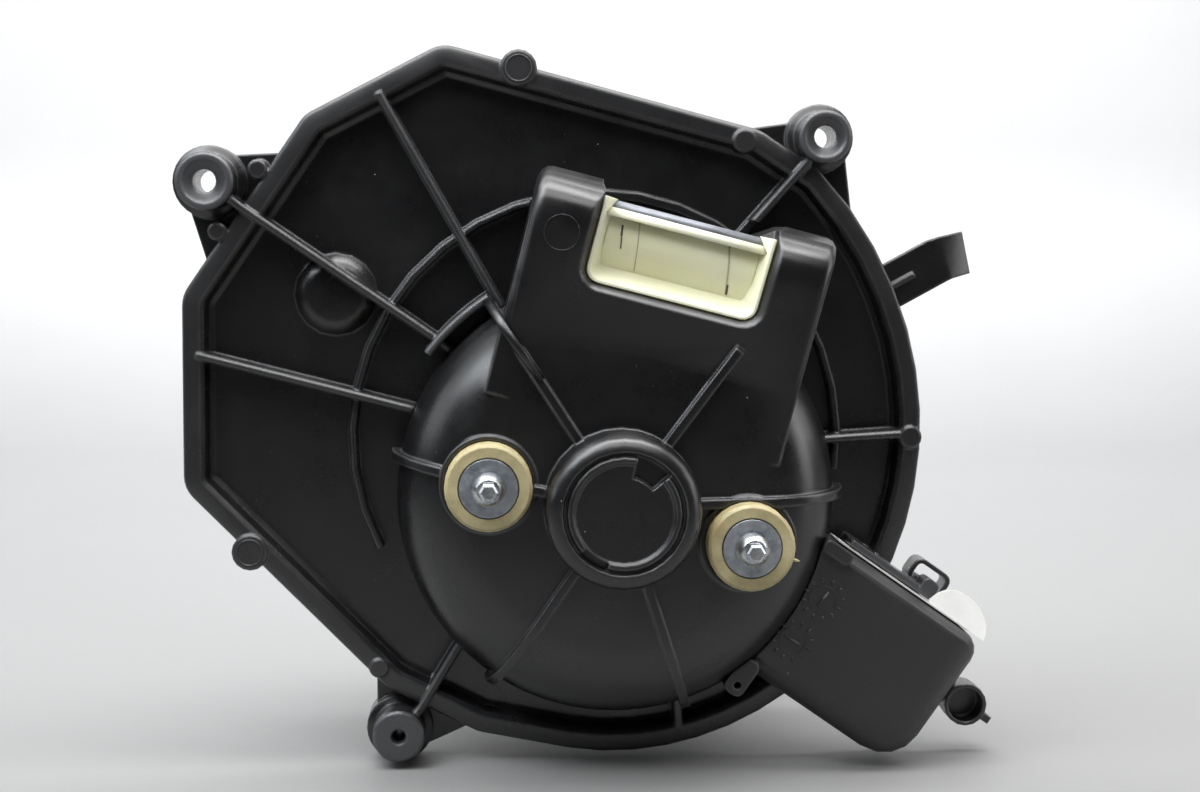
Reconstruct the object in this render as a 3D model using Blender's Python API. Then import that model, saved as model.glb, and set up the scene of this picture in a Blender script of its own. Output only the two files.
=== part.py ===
"""Car cabin blower motor: scroll cover, motor holder with its cooling snout, motor and fan wheel.

Units are metres and +Z is up. The motor axis runs along Y: the motor holder looks towards -Y and the
fan wheel sits behind the cover, towards +Y. The pieces are built round the motor axis, with y = 0 at
the front of the cover's floor. At the end all of them are moved so that the origin lies on the face of
the upper left screw lug, above its bore.
"""

import math
from collections import namedtuple

import bmesh
import bpy
from mathutils import Matrix

MM = 0.001

# General
CLEAR = 0.3 * MM             # gap between pieces that seat on each other
WELD = 0.002 * MM            # corners closer than this after a cut are one corner
DEEP = 90.0 * MM             # reach of a cutter that goes past everything
PLASTIC_WALL = 2.4 * MM      # wall of the motor holder and of the connector housing

# Fan wheel
FAN_R = 65.5 * MM
FAN_BLADES = 43
BLADE_DEPTH = 11.0 * MM      # radial depth of the blade ring
BLADE_T = 1.0 * MM
BLADE_SWEEP = math.radians(8.5)
FAN_HEIGHT = 54.0 * MM
FAN_RING_T = 2.0 * MM
FAN_RIM_W = 4.6 * MM         # radial width of the ring at the intake end
FAN_RIM_H = 3.6 * MM
FAN_TO_FLOOR = 3.2 * MM      # running gap behind the cover's floor
FAN_HUB_R = 8.5 * MM
FAN_HUB_L = 17.0 * MM
FAN_SHELL_T = 1.8 * MM       # wall of the bell that joins the hub to the blades

# Scroll cover
FLOOR_T = 2.4 * MM
RIM_W = 8.2 * MM
RIM_H = 8.0 * MM
RIM_CREST_W = 3.6 * MM
FAN_TO_RIM = 3.5 * MM
OPENING_INSET = 6.0 * MM             # how far the motor opening lies inside the blades
SPIRAL_GROWTH = 32.8 * MM    # how far the scroll opens from its narrowest point to its end
SPIRAL_START = math.radians(-100)
SPIRAL_OPENS = math.radians(-90)
SPIRAL_END = math.radians(57.4)
SPIRAL_POWER = 2.2
SCROLL_R = FAN_R + FAN_TO_RIM + RIM_W
TONGUE_W = 1.8 * MM
TONGUE_H = 2.0 * MM
TONGUE_INSET = 2.6 * MM
COVER_RIB_W = 2.5 * MM
COVER_RIB_H = 8.6 * MM
ARC_RIB_H = 5.2 * MM
ARC_RIB_CENTRE = (-5.0 * MM, 15.5 * MM)
ARC_RIB_GAP = 8.0 * MM       # how much wider the arc is than the holder
ARC_RIB_SPAN = (-8.0, 207.0)         # degrees

# Straight part of the cover's outline: direction from the motor axis in degrees, distance beyond the
# scroll's smallest radius and corner radius
COVER_CORNERS = (
    (68.0, 35.0 * MM, 14.0 * MM),
    (110.9, 60.1 * MM, 9.0 * MM),
    (129.1, 62.1 * MM, 9.0 * MM),
    (155.2, 58.5 * MM, 10.0 * MM),
    (179.3, 46.5 * MM, 9.0 * MM),
    (221.1, 10.3 * MM, 14.0 * MM),
    (240.6, 4.0 * MM, 10.0 * MM),
)
# Round pads on the rim: direction in degrees, distance beyond the scroll and radius
RIM_PADS = (
    (102.7, 47.1 * MM, 5.3 * MM),
    (69.7, 30.4 * MM, 3.5 * MM),
    (189.1, 29.1 * MM, 5.3 * MM),
    (216.8, 8.2 * MM, 2.9 * MM),
    (137.5, 60.0 * MM, 2.8 * MM),
    (146.3, 58.3 * MM, 2.7 * MM),
    (10.0, 10.6 * MM, 3.4 * MM),
)
PAD_RISE = 0.8 * MM
# Stiffening ribs on the floor: direction at the rim and at the holder, in degrees
COVER_RIBS = ((120.4, 121.5), (161.5, 157.1), (10.7, 14.0), (-74.9, -72.2))
# Screw lugs: direction in degrees, distance beyond the scroll, outer, mouth and bore radius, length,
# half width of the web at the rim and direction of the rib at the holder
Lug = namedtuple("Lug", "direction beyond outer mouth bore length spread rib_end")
LUGS = {
    "upper_left": Lug(142.3, 68.7 * MM, 8.2 * MM, 6.2 * MM, 3.3 * MM, 17.0 * MM, 13.0 * MM, 138.2),
    "upper_right": Lug(59.6, 41.0 * MM, 7.6 * MM, 5.8 * MM, 3.2 * MM, 17.0 * MM, 20.0 * MM, 69.5),
    "lower_left": Lug(-131.8, 16.9 * MM, 7.5 * MM, 2.3 * MM, 1.7 * MM, 21.0 * MM, 18.0 * MM, -136.0),
}
LUG_FACE = -14.0 * MM
LUG_EDGE = 0.7 * MM
LUG_SINK = 1.4 * MM                  # depth of the cone in a lug's face
LUG_FOOT = -4.0 * MM                 # where a lug widens to its foot
LUG_FOOT_W = 2.2 * MM
LUG_WEB_T = 2.0 * MM
BUMP_R = 12.0 * MM
BUMP_H = 3.2 * MM
BUMP_PLACE = (144.6, 35.8 * MM)      # direction in degrees, distance beyond the holder
TAB_T = 2.2 * MM
TAB_FRONT = 0.8 * MM
TAB_L = 19.5 * MM
TAB_W = 13.4 * MM
TAB_DIRECTION = 36.0                 # where it leaves the rim, in degrees
TAB_HEADING = 28.5                   # degrees
TAB_TIP_L = 10.0 * MM
TAB_TIP_BACK = 4.5 * MM
TAB_TIP_HEADING = 12.0               # degrees
TAB_RIDGE_L = 9.0 * MM

# Motor holder
HOLDER_R = 62.5 * MM
HOLDER_FRONT = 36.0 * MM             # height of its flat front over the cover's floor
HOLDER_ROUND = 22.0 * MM             # radius of its shoulder
HUB_R = 21.2 * MM
HUB_H = 17.0 * MM
HUB_CAP_R = 15.9 * MM
HUB_CAP_T = 6.0 * MM
HUB_LIP_W = 2.6 * MM
HUB_GROOVE = 1.3 * MM
HUB_NOTCH_R = 9.8 * MM
HUB_ROUND = 4.5 * MM
HOLDER_RIB_W = 2.6 * MM
HOLDER_RIB_H = 2.6 * MM
# Ribs on the holder: direction in degrees and whether the rib runs over the shoulder
HOLDER_RIBS = ((122.8, True), (53.0, False), (1.0, True), (-72.0, True), (-124.6, True), (169.0, True))
SHORT_RIB_END = 54.5 * MM
COLLAR_SPAN = (122.5, 142.5)         # degrees
COLLAR_GAP = 3.6 * MM
COLLAR_T = 2.2 * MM
COLLAR_H = 20.0 * MM

# Cooling snout, in its own turned frame: u across and v outwards from the motor axis
SNOUT_TURN = math.radians(-14.5)
SNOUT_LEFT = 44.0 * MM
SNOUT_RIGHT = 39.7 * MM
SNOUT_TOP = 85.4 * MM
SNOUT_FRONT = 43.0 * MM              # height of its outer end over the cover's floor
SNOUT_BACK = 3.0 * MM
SNOUT_ROUND = 8.0 * MM
SNOUT_SIDE_ROUND = 3.6 * MM
SADDLE_DEPTH = 4.8 * MM
SADDLE_SLOPE = 6.9 * MM              # width of its slope at the right
POCKET_LEFT = 25.8 * MM
POCKET_RIGHT = 22.8 * MM
POCKET_FLOOR = 57.4 * MM
POCKET_BACK = 26.0 * MM
POCKET_CORNER = 4.2 * MM
POCKET_LIP = 2.6 * MM
SNOUT_SLOPE = 0.16                   # rise of the snout's face for each distance outwards
BAR_T = 3.6 * MM                     # bar that closes the pocket towards the saddle
BAR_DEPTH = 4.4 * MM                 # how far its front lies behind the snout's face
LINER_WALL = 1.1 * MM
LINER_SIDE = 4.2 * MM                # width of the liner's slanted sides
LINER_RAMP = 5.4 * MM                # width of its slanted floor
LINER_DEPTH = 8.4 * MM
LINER_BULGE = 3.4 * MM
LINER_OVER = 4.4 * MM                # how far its sides run up in front of the bar

# Rubber bushes with their screws
BUSH_BESIDE = 3.9 * MM               # distance of a screw's axis from the motor can
BUSH_ANGLES = {"left": 170.4, "right": -17.1}
BUSH_R = 12.0 * MM
BUSH_H = 9.1 * MM
BUSH_SEAT_DEPTH = 0.5 * MM
BUSH_SEAT_W = 1.6 * MM
BUSH_NECK_R = 8.0 * MM
BUSH_BACK_R = 10.2 * MM
BUSH_BACK_H = 2.6 * MM
BUSH_RECESS = 1.5 * MM
WASHER_R = 8.0 * MM
WASHER_T = 1.5 * MM
SCREW_R = 2.5 * MM
SCREW_HEAD_R = 4.8 * MM
SCREW_HEAD_H = 4.6 * MM
SCREW_TIP_R = 2.7 * MM
SCREW_TIP_H = 3.6 * MM
SCREW_PAST = 5.0 * MM                # how far a screw reaches past the end plate
SLEEVE_T = 1.3 * MM

# Motor
CAN_R = 33.0 * MM
CAN_T = 1.6 * MM
CAN_L = 55.0 * MM
CAN_BEND = 3.0 * MM
END_PLATE_T = 2.5 * MM
EAR_R = 6.6 * MM
BEARING_R = 8.0 * MM
BEARING_L = 9.0 * MM
BEARING_SEAT_T = 2.2 * MM
SHAFT_R = 4.0 * MM
MAGNET_T = 5.4 * MM
MAGNET_SPAN = 132.0                  # degrees
AIR_GAP = 1.0 * MM
CORE_SLOTS = 12
CORE_YOKE_R = 11.5 * MM
TOOTH_W = 3.6 * MM
TOOTH_TIP = 2.2 * MM
SLOT_MOUTH = 3.0 * MM
COIL_OVERHANG = 5.0 * MM
COMMUTATOR_R = 10.0 * MM
COMMUTATOR_L = 13.0 * MM
COMMUTATOR_GAP = 2.8 * MM            # between the end plate and the commutator
COMMUTATOR_BARS = 12
BRUSH_W = 6.0 * MM
BRUSH_H = 8.0 * MM
BRUSH_L = 11.0 * MM
BRUSH_BOX_T = 1.2 * MM
CARD_T = 2.0 * MM
SPRING_WIRE = 0.5 * MM
SPRING_R = 2.2 * MM
SPRING_TURNS = 4
CLIP_T = 1.2 * MM
CLIP_R = 7.5 * MM
SHAFT_END = 4.0 * MM                 # how far the shaft shows beyond the clip

# Connector housing, in its own turned frame: a outwards and b across
BOX_TURN = math.radians(-35.0)
BOX_REACH = 50.1 * MM                # how far it stands out from the motor holder
BOX_SUNK = 18.5 * MM                 # how far its walls run on below the holder's shoulder
BOX_LOW = 19.8 * MM
BOX_HIGH = 25.2 * MM
BOX_FRONT = 25.0 * MM                # height over the cover's floor
BOX_SEAT = 0.1 * MM                  # depth of the seat in the cover's floor
BOX_CORNER_LOW = 12.0 * MM
BOX_CORNER_HIGH = 6.5 * MM
BOX_ROUND = 9.0 * MM                 # rounding of the front edges
BOX_HIGH_SHARE = 0.4                 # the upper edge is rounded less
HOOK_RISE = 2.4 * MM                 # how far the hooks stand in front of the housing
HOOK_W = 7.6 * MM
HOOK_INSET = 7.3 * MM                # how far they start inside the holder's radius
SHELF_SHORT = 1.5 * MM               # how far the shelf stops short of the housing's end
RAIL_GAP = 1.1 * MM                  # leaves room for the label
RAIL_T = 2.0 * MM
RAIL_H = 14.0 * MM
RAIL_SHORT = 19.6 * MM               # how far the rail stops short of the housing's end
CLIP_WALL = 1.3 * MM
CUP_R = 6.3 * MM
CUP_T = 1.1 * MM
CUP_H = 9.0 * MM
CUP_OUT = 11.9 * MM                  # distance of the cup beyond the shelf
CUP_ACROSS = 6.8 * MM
SOCKET_W = 22.0 * MM
SOCKET_H = 10.0 * MM
SOCKET_DEPTH = 15.0 * MM
TERMINAL_W = 6.3 * MM
TERMINAL_T = 0.8 * MM
TERMINAL_L = 9.0 * MM
TERMINAL_PITCH = 10.0 * MM
BLOCK_T = 4.0 * MM
LABEL_T = 0.4 * MM
LABEL_W = 14.0 * MM
LABEL_START = 2.4 * MM               # how far it starts inside the holder's radius
LABEL_FLAP_R = 10.0 * MM
LABEL_FLAP_H = 8.2 * MM
LABEL_LEAN = 0.5                     # how far the flap leans back for each distance outwards

# Segments of round shapes
FINE = 56
ROUND = 28
SMALL = 16

# Ends of the connector housing
BOX_START = HOLDER_R - BOX_SUNK
BOX_END = HOLDER_R + BOX_REACH

# Stations along the motor axis
RIM_FRONT = -RIM_H
FLOOR_BACK = FLOOR_T
HOLDER_BASE = -CLEAR
HOLDER_FACE = -HOLDER_FRONT
HOLDER_INNER = HOLDER_FACE + PLASTIC_WALL
HUB_FACE = HOLDER_FACE - HUB_H
BUSH_SEAT = HOLDER_FACE + BUSH_SEAT_DEPTH
BUSH_FACE = BUSH_SEAT - CLEAR - BUSH_H
BUSH_INNER_SEAT = HOLDER_INNER - 0.1 * MM
BUSH_BACK = BUSH_INNER_SEAT + CLEAR + BUSH_BACK_H
PLATE_FRONT = BUSH_BACK + CLEAR
PLATE_BACK = PLATE_FRONT + END_PLATE_T
CAN_FRONT = PLATE_BACK + CLEAR
CAN_BACK = CAN_FRONT + CAN_L
BEARING_NOSE = CAN_BACK + BEARING_L - CAN_T
FAN_FRONT = FLOOR_BACK + FAN_TO_FLOOR
FAN_BACK = FAN_FRONT + FAN_HEIGHT
FAN_HUB_FRONT = BEARING_NOSE + 4 * CLEAR
FAN_HUB_BACK = FAN_HUB_FRONT + FAN_HUB_L
CLIP_FRONT = FAN_HUB_BACK + CLEAR
CLIP_BACK = CLIP_FRONT + CLIP_T
SHAFT_BACK = CLIP_BACK + SHAFT_END
BUSH_CIRCLE = CAN_R + BUSH_BESIDE
MAGNET_R = CAN_R - CAN_T - CLEAR
CORE_R = MAGNET_R - MAGNET_T - AIR_GAP
COMMUTATOR_FRONT = PLATE_BACK + COMMUTATOR_GAP
COMMUTATOR_BACK = COMMUTATOR_FRONT + COMMUTATOR_L
COIL_FRONT = COMMUTATOR_BACK + 2 * CLEAR
CORE_FRONT = COIL_FRONT + COIL_OVERHANG
MAGNET_FRONT = COIL_FRONT
MAGNET_BACK = CAN_BACK - CAN_T - CAN_BEND - CLEAR
CORE_BACK = MAGNET_BACK - COIL_OVERHANG
BRUSH_MID = (COMMUTATOR_FRONT + COMMUTATOR_BACK) / 2


def clear_scene():
    for obj in list(bpy.data.objects):
        bpy.data.objects.remove(obj, do_unlink=True)


def material(name, colour, roughness, metallic=0.0):
    made = bpy.data.materials.new(name)
    made.use_nodes = True
    shader = made.node_tree.nodes["Principled BSDF"]
    shader.inputs["Base Color"].default_value = (*colour, 1.0)
    shader.inputs["Roughness"].default_value = roughness
    shader.inputs["Metallic"].default_value = metallic
    return made


def polar(degrees, radius):
    turn = math.radians(degrees)
    return radius * math.cos(turn), radius * math.sin(turn)


def turned_point(turn, across, outwards):
    """A point of a frame that is turned about the motor axis, as (x, z)."""
    return (across * math.cos(turn) - outwards * math.sin(turn),
            across * math.sin(turn) + outwards * math.cos(turn))


# Solids from rings of points

def solid(name, rings, closed=False):
    """One closed body through rings with equal counts of points; open ends are capped."""
    bm = bmesh.new()
    loops = [[bm.verts.new(point) for point in ring] for ring in rings]
    count = len(loops[0])
    pairs = list(zip(loops, loops[1:]))
    if closed:
        pairs.append((loops[-1], loops[0]))
    else:
        bm.faces.new(loops[0])
        bm.faces.new(loops[-1])
    for first, second in pairs:
        for i in range(count):
            j = (i + 1) % count
            bm.faces.new((first[i], first[j], second[j], second[i]))
    bmesh.ops.recalc_face_normals(bm, faces=bm.faces)
    mesh = bpy.data.meshes.new(name)
    bm.to_mesh(mesh)
    bm.free()
    obj = bpy.data.objects.new(name, mesh)
    bpy.context.scene.collection.objects.link(obj)
    return obj


def prism(name, outline, front, back):
    """An outline in (x, z), extruded along the motor axis."""
    return solid(name, [[(x, y, z) for x, z in outline] for y in (front, back)])


def circle(centre, radius, steps):
    turns = [2 * math.pi * i / steps for i in range(steps)]
    return [(centre[0] + radius * math.cos(t), centre[1] + radius * math.sin(t)) for t in turns]


def turned(name, profile, centre=(0, 0), steps=ROUND):
    """A body turned about an axis along Y: profile is (radius, y) from one end to the other."""
    rings = [[(x, y, z) for x, z in circle(centre, radius, steps)] for radius, y in profile]
    return solid(name, rings)


def turned_ring(name, profile, centre=(0, 0), steps=ROUND):
    """A hollow body turned about an axis along Y: profile is a closed loop of (radius, y)."""
    rings = [[(x, y, z) for x, z in circle(centre, radius, steps)] for radius, y in profile]
    return solid(name, rings, closed=True)


def tube(name, outer, inner, front, back, centre=(0, 0), steps=ROUND):
    return turned_ring(name, [(outer, front), (outer, back), (inner, back), (inner, front)], centre, steps)


def rod(name, radius, front, back, centre=(0, 0), steps=ROUND):
    return turned(name, [(radius, front), (radius, back)], centre, steps)


def unit(dx, dz):
    length = math.hypot(dx, dz)
    return dx / length, dz / length


def rounded(corners, steps=4):
    """Points of an outline whose corners (x, z, radius) are rounded."""
    points = []
    count = len(corners)
    for i in range(count):
        x, z, radius = corners[i]
        back = unit(corners[i - 1][0] - x, corners[i - 1][1] - z)
        ahead = unit(corners[(i + 1) % count][0] - x, corners[(i + 1) % count][1] - z)
        points += corner_arc((x, z), back, ahead, radius, steps)
    return points


def corner_arc(corner, back, ahead, radius, steps):
    """The arc that rounds one corner, between the directions back and ahead along its sides."""
    cosine = max(-1.0, min(1.0, back[0] * ahead[0] + back[1] * ahead[1]))
    half = math.acos(cosine) / 2
    if radius <= 0 or half > math.radians(89):
        return [corner]
    middle = unit(back[0] + ahead[0], back[1] + ahead[1])
    reach = radius / math.sin(half)
    centre = (corner[0] + middle[0] * reach, corner[1] + middle[1] * reach)
    side = radius / math.tan(half)
    start = (corner[0] + back[0] * side, corner[1] + back[1] * side)
    end = (corner[0] + ahead[0] * side, corner[1] + ahead[1] * side)
    first = math.atan2(start[1] - centre[1], start[0] - centre[0])
    last = math.atan2(end[1] - centre[1], end[0] - centre[0])
    sweep = (last - first + math.pi) % (2 * math.pi) - math.pi
    angles = [first + sweep * i / steps for i in range(steps + 1)]
    return [(centre[0] + radius * math.cos(a), centre[1] + radius * math.sin(a)) for a in angles]


def rectangle(left, right, low, high, radius=0.0, turn=0.0, steps=4):
    """A rectangle in a frame turned about the motor axis, with rounded corners."""
    corners = [(left, low), (right, low), (right, high), (left, high)]
    return rounded([(*turned_point(turn, u, v), radius) for u, v in corners], steps)


def capsule(start, end, radius, steps=SMALL):
    """A slot-shaped outline round two points."""
    dx, dz = unit(end[0] - start[0], end[1] - start[1])
    heading = math.atan2(dz, dx)
    half = steps // 2
    points = []
    for centre, base in ((end, heading - math.pi / 2), (start, heading + math.pi / 2)):
        for i in range(half + 1):
            turn = base + math.pi * i / half
            points.append((centre[0] + radius * math.cos(turn), centre[1] + radius * math.sin(turn)))
    return points


def ridge(name, path, width, top, base):
    """A rib along a path of (x, z), with a narrower crest; top is one height or one for each point."""
    tops = top if isinstance(top, tuple) else (top,) * len(path)
    rings = []
    for i, (x, z) in enumerate(path):
        crest = tops[i]
        section = ((-0.5 * width, base), (-0.5 * width, crest + 0.3 * width), (-0.22 * width, crest),
                   (0.22 * width, crest), (0.5 * width, crest + 0.3 * width), (0.5 * width, base))
        before = path[max(i - 1, 0)]
        after = path[min(i + 1, len(path) - 1)]
        dx, dz = unit(after[0] - before[0], after[1] - before[1])
        rings.append([(x - dz * side, y, z + dx * side) for side, y in section])
    return solid(name, rings)


def radial_plate(name, degrees, outline, width):
    """A plate that stands in the plane through the motor axis: outline is (radius, y)."""
    turn = math.radians(degrees)
    rings = []
    for side in (-0.5 * width, 0.5 * width):
        rings.append([(radius * math.cos(turn) - side * math.sin(turn), y,
                       radius * math.sin(turn) + side * math.cos(turn)) for radius, y in outline])
    return solid(name, rings)


def across_plate(name, turn, outline, low, high):
    """A body whose outline is (v, y) in a turned frame, extruded across it from low to high."""
    rings = []
    for u in (low, high):
        ring = []
        for v, y in outline:
            x, z = turned_point(turn, u, v)
            ring.append((x, y, z))
        rings.append(ring)
    return solid(name, rings)


# Joining and cutting

def settle(obj):
    """The object's modifiers become its mesh."""
    bpy.context.view_layer.update()
    graph = bpy.context.evaluated_depsgraph_get()
    mesh = bpy.data.meshes.new_from_object(obj.evaluated_get(graph))
    obj.modifiers.clear()
    bm = bmesh.new()
    bm.from_mesh(mesh)
    bmesh.ops.remove_doubles(bm, verts=bm.verts, dist=WELD)
    bmesh.ops.dissolve_degenerate(bm, edges=bm.edges, dist=WELD)
    bm.to_mesh(mesh)
    bm.free()
    obj.data = mesh


def combine(obj, tools, operation):
    for tool in tools:
        modifier = obj.modifiers.new(operation.title(), "BOOLEAN")
        modifier.operation = operation
        modifier.solver = "EXACT"
        modifier.object = tool
        settle(obj)
        bpy.data.objects.remove(tool, do_unlink=True)
    return obj


def join(obj, *tools):
    return combine(obj, tools, "UNION")


def cut(obj, *tools):
    return combine(obj, tools, "DIFFERENCE")


def finish(obj, name, surface, sharp=35):
    """Names the node, gives it its material and shades its round faces smooth."""
    obj.name = name
    obj.data.name = name
    obj.data.materials.clear()
    obj.data.materials.append(surface)
    obj.data.shade_smooth()
    obj.data.set_sharp_from_angle(angle=math.radians(sharp))
    return obj


# Scroll cover

def spiral_radius(turn):
    share = max(0.0, turn - SPIRAL_OPENS) / (SPIRAL_END - SPIRAL_OPENS)
    return SCROLL_R + SPIRAL_GROWTH * share ** SPIRAL_POWER


def inset_corners(corners, inset):
    """Corners of a counter-clockwise chain moved inwards; its two ends are left out."""
    moved = []
    for i in range(1, len(corners) - 1):
        x, z = corners[i][:2]
        back = unit(x - corners[i - 1][0], z - corners[i - 1][1])
        ahead = unit(corners[i + 1][0] - x, corners[i + 1][1] - z)
        middle = (-back[1] - ahead[1], back[0] + ahead[0])
        scale = inset * 2 / (middle[0] ** 2 + middle[1] ** 2)
        radius = max(corners[i][2] - inset, 0.6 * MM)
        moved.append((x + middle[0] * scale, z + middle[1] * scale, radius))
    return moved


def cover_outline(inset):
    """The cover's outline, counter-clockwise, moved inwards by inset."""
    steps = 22
    spiral = []
    for i in range(steps + 1):
        turn = SPIRAL_START + (SPIRAL_END - SPIRAL_START) * i / steps
        radius = spiral_radius(turn) - inset
        spiral.append((radius * math.cos(turn), radius * math.sin(turn)))
    chain = [(*cover_edge_point(SPIRAL_END), 0.0)]
    chain += [(*polar(degrees, SCROLL_R + extra), radius) for degrees, extra, radius in COVER_CORNERS]
    chain.append((*cover_edge_point(SPIRAL_START), 0.0))
    corners = inset_corners(chain, inset)
    corners = [(*spiral[-1], 0.0)] + corners + [(*spiral[0], 0.0)]
    points = list(spiral)
    for i in range(1, len(corners) - 1):
        x, z, radius = corners[i]
        back = unit(corners[i - 1][0] - x, corners[i - 1][1] - z)
        ahead = unit(corners[i + 1][0] - x, corners[i + 1][1] - z)
        points += corner_arc((x, z), back, ahead, radius, 4)
    return points


def cover_edge_point(turn):
    radius = spiral_radius(turn)
    return radius * math.cos(turn), radius * math.sin(turn)


def cover_edge(degrees):
    """Distance from the motor axis to the cover's outline in one direction."""
    dx, dz = polar(degrees, 1.0)
    outline = cover_outline(0.0)
    reach = 0.0
    for (x1, z1), (x2, z2) in zip(outline, outline[1:] + outline[:1]):
        across = (x2 - x1) * dz - (z2 - z1) * dx
        if abs(across) < 1e-12:
            continue
        share = (z1 * dx - x1 * dz) / across
        if -1e-9 <= share <= 1 + 1e-9:
            reach = max(reach, (x1 + share * (x2 - x1)) * dx + (z1 + share * (z2 - z1)) * dz)
    return reach


def cover_tray():
    """Floor and rim: a rounded crest in front and a sealing tongue behind."""
    crest = RIM_W - RIM_CREST_W
    profile = (
        (TONGUE_INSET + TONGUE_W, FLOOR_BACK),
        (TONGUE_INSET + 0.9 * TONGUE_W, FLOOR_BACK + TONGUE_H),
        (TONGUE_INSET + 0.1 * TONGUE_W, FLOOR_BACK + TONGUE_H),
        (TONGUE_INSET, FLOOR_BACK),
        (0.0, FLOOR_BACK),
        (0.0, RIM_FRONT + 0.3 * crest),
        (0.09 * crest, RIM_FRONT + 0.1 * crest),
        (0.3 * crest, RIM_FRONT),
        (RIM_CREST_W + 0.3 * crest, RIM_FRONT),
        (RIM_CREST_W + 0.55 * crest, RIM_FRONT + 0.2 * crest),
        (RIM_CREST_W + 0.7 * crest, -0.2 * crest),
        (RIM_W, 0.0),
    )
    rings = [[(x, y, z) for x, z in cover_outline(inset)] for inset, y in profile]
    return solid("cover_tray", rings)


def lug_place(lug):
    return polar(lug.direction, SCROLL_R + lug.beyond)


def cover_lugs():
    """Screw lugs outside the rim, each with a wider foot and a web back to the rim."""
    made = []
    for name, lug in LUGS.items():
        place = lug_place(lug)
        foot = lug.outer + LUG_FOOT_W
        made.append(turned(name, [(lug.outer - LUG_EDGE, LUG_FACE), (lug.outer, LUG_FACE + LUG_EDGE),
                                  (lug.outer, LUG_FOOT), (foot, LUG_FOOT + 0.5 * LUG_FOOT_W),
                                  (foot, LUG_FACE + lug.length)], place, ROUND))
        inner = polar(lug.direction, cover_edge(lug.direction) - 0.5 * RIM_W)
        side = polar(lug.direction + 90, 0.93 * foot)
        outline = [(place[0] + side[0], place[1] + side[1])]
        for sign in (1, -1):
            angle = lug.direction + sign * math.degrees(lug.spread / SCROLL_R)
            outline.append(polar(angle, cover_edge(angle) - 0.5 * RIM_W))
            if sign > 0:
                outline.append(inner)
        outline.append((place[0] - side[0], place[1] - side[1]))
        made.append(prism("lug_web", outline, -0.4 * LUG_WEB_T, 0.6 * LUG_WEB_T))
    return made


def lug_bores():
    made = []
    for lug in LUGS.values():
        made.append(turned("bore", [(lug.mouth, LUG_FACE - MM), (lug.mouth, LUG_FACE + 0.3 * LUG_SINK),
                                    (lug.bore, LUG_FACE + LUG_SINK), (lug.bore, LUG_FACE + lug.length + MM)],
                           lug_place(lug), SMALL))
    return made


def cover_ribs():
    """Straight ribs from the rim or from a lug to the holder, and the arc that crosses them."""
    made = []
    end_r = HOLDER_R - PLASTIC_WALL
    for rim_side, holder_side in COVER_RIBS:
        start = polar(rim_side, cover_edge(rim_side) - 0.5 * RIM_W)
        path = [start, polar(holder_side, end_r)]
        made.append(ridge("rib", path, COVER_RIB_W, -COVER_RIB_H, 0.5 * FLOOR_T))
    for lug in LUGS.values():
        path = [lug_place(lug), polar(lug.direction, cover_edge(lug.direction)), polar(lug.rib_end, end_r)]
        tops = (LUG_FACE + LUG_SINK, -COVER_RIB_H - PAD_RISE, -COVER_RIB_H)
        made.append(ridge("rib", path, COVER_RIB_W, tops, 0.45 * FLOOR_T))
    radius = HOLDER_R + ARC_RIB_GAP
    first, last = ARC_RIB_SPAN
    steps = 22
    arc = []
    for i in range(steps + 1):
        x, z = polar(first + (last - first) * i / steps, radius)
        arc.append((ARC_RIB_CENTRE[0] + x, ARC_RIB_CENTRE[1] + z))
    made.append(ridge("arc_rib", arc, COVER_RIB_W, -ARC_RIB_H, 0.4 * FLOOR_T))
    return made


def cover_pads():
    made = []
    for degrees, beyond, radius in RIM_PADS:
        front = RIM_FRONT - PAD_RISE
        made.append(turned("pad", [(radius - 0.5 * MM, front), (radius, front + 0.5 * MM),
                                   (radius, 0.6 * FLOOR_T)], polar(degrees, SCROLL_R + beyond), SMALL))
    return made


def cover_bump():
    degrees, extra = BUMP_PLACE
    place = polar(degrees, HOLDER_R + extra)
    steps = [0.0, 0.4, 0.8, 1.0]
    profile = [(BUMP_R * (1 - 0.38 * s), -BUMP_H * math.sin(0.5 * math.pi * s)) for s in steps]
    return turned("bump", [(BUMP_R, 0.5 * FLOOR_T)] + profile, place, SMALL)


def cover_collar():
    """The curved wall beside the holder's shoulder."""
    radius = HOLDER_R + COLLAR_GAP + 0.5 * COLLAR_T
    first, last = COLLAR_SPAN
    arc = [polar(first + (last - first) * i / 8, radius) for i in range(9)]
    return ridge("collar", arc, COLLAR_T, -COLLAR_H, 0.4 * FLOOR_T)


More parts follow.
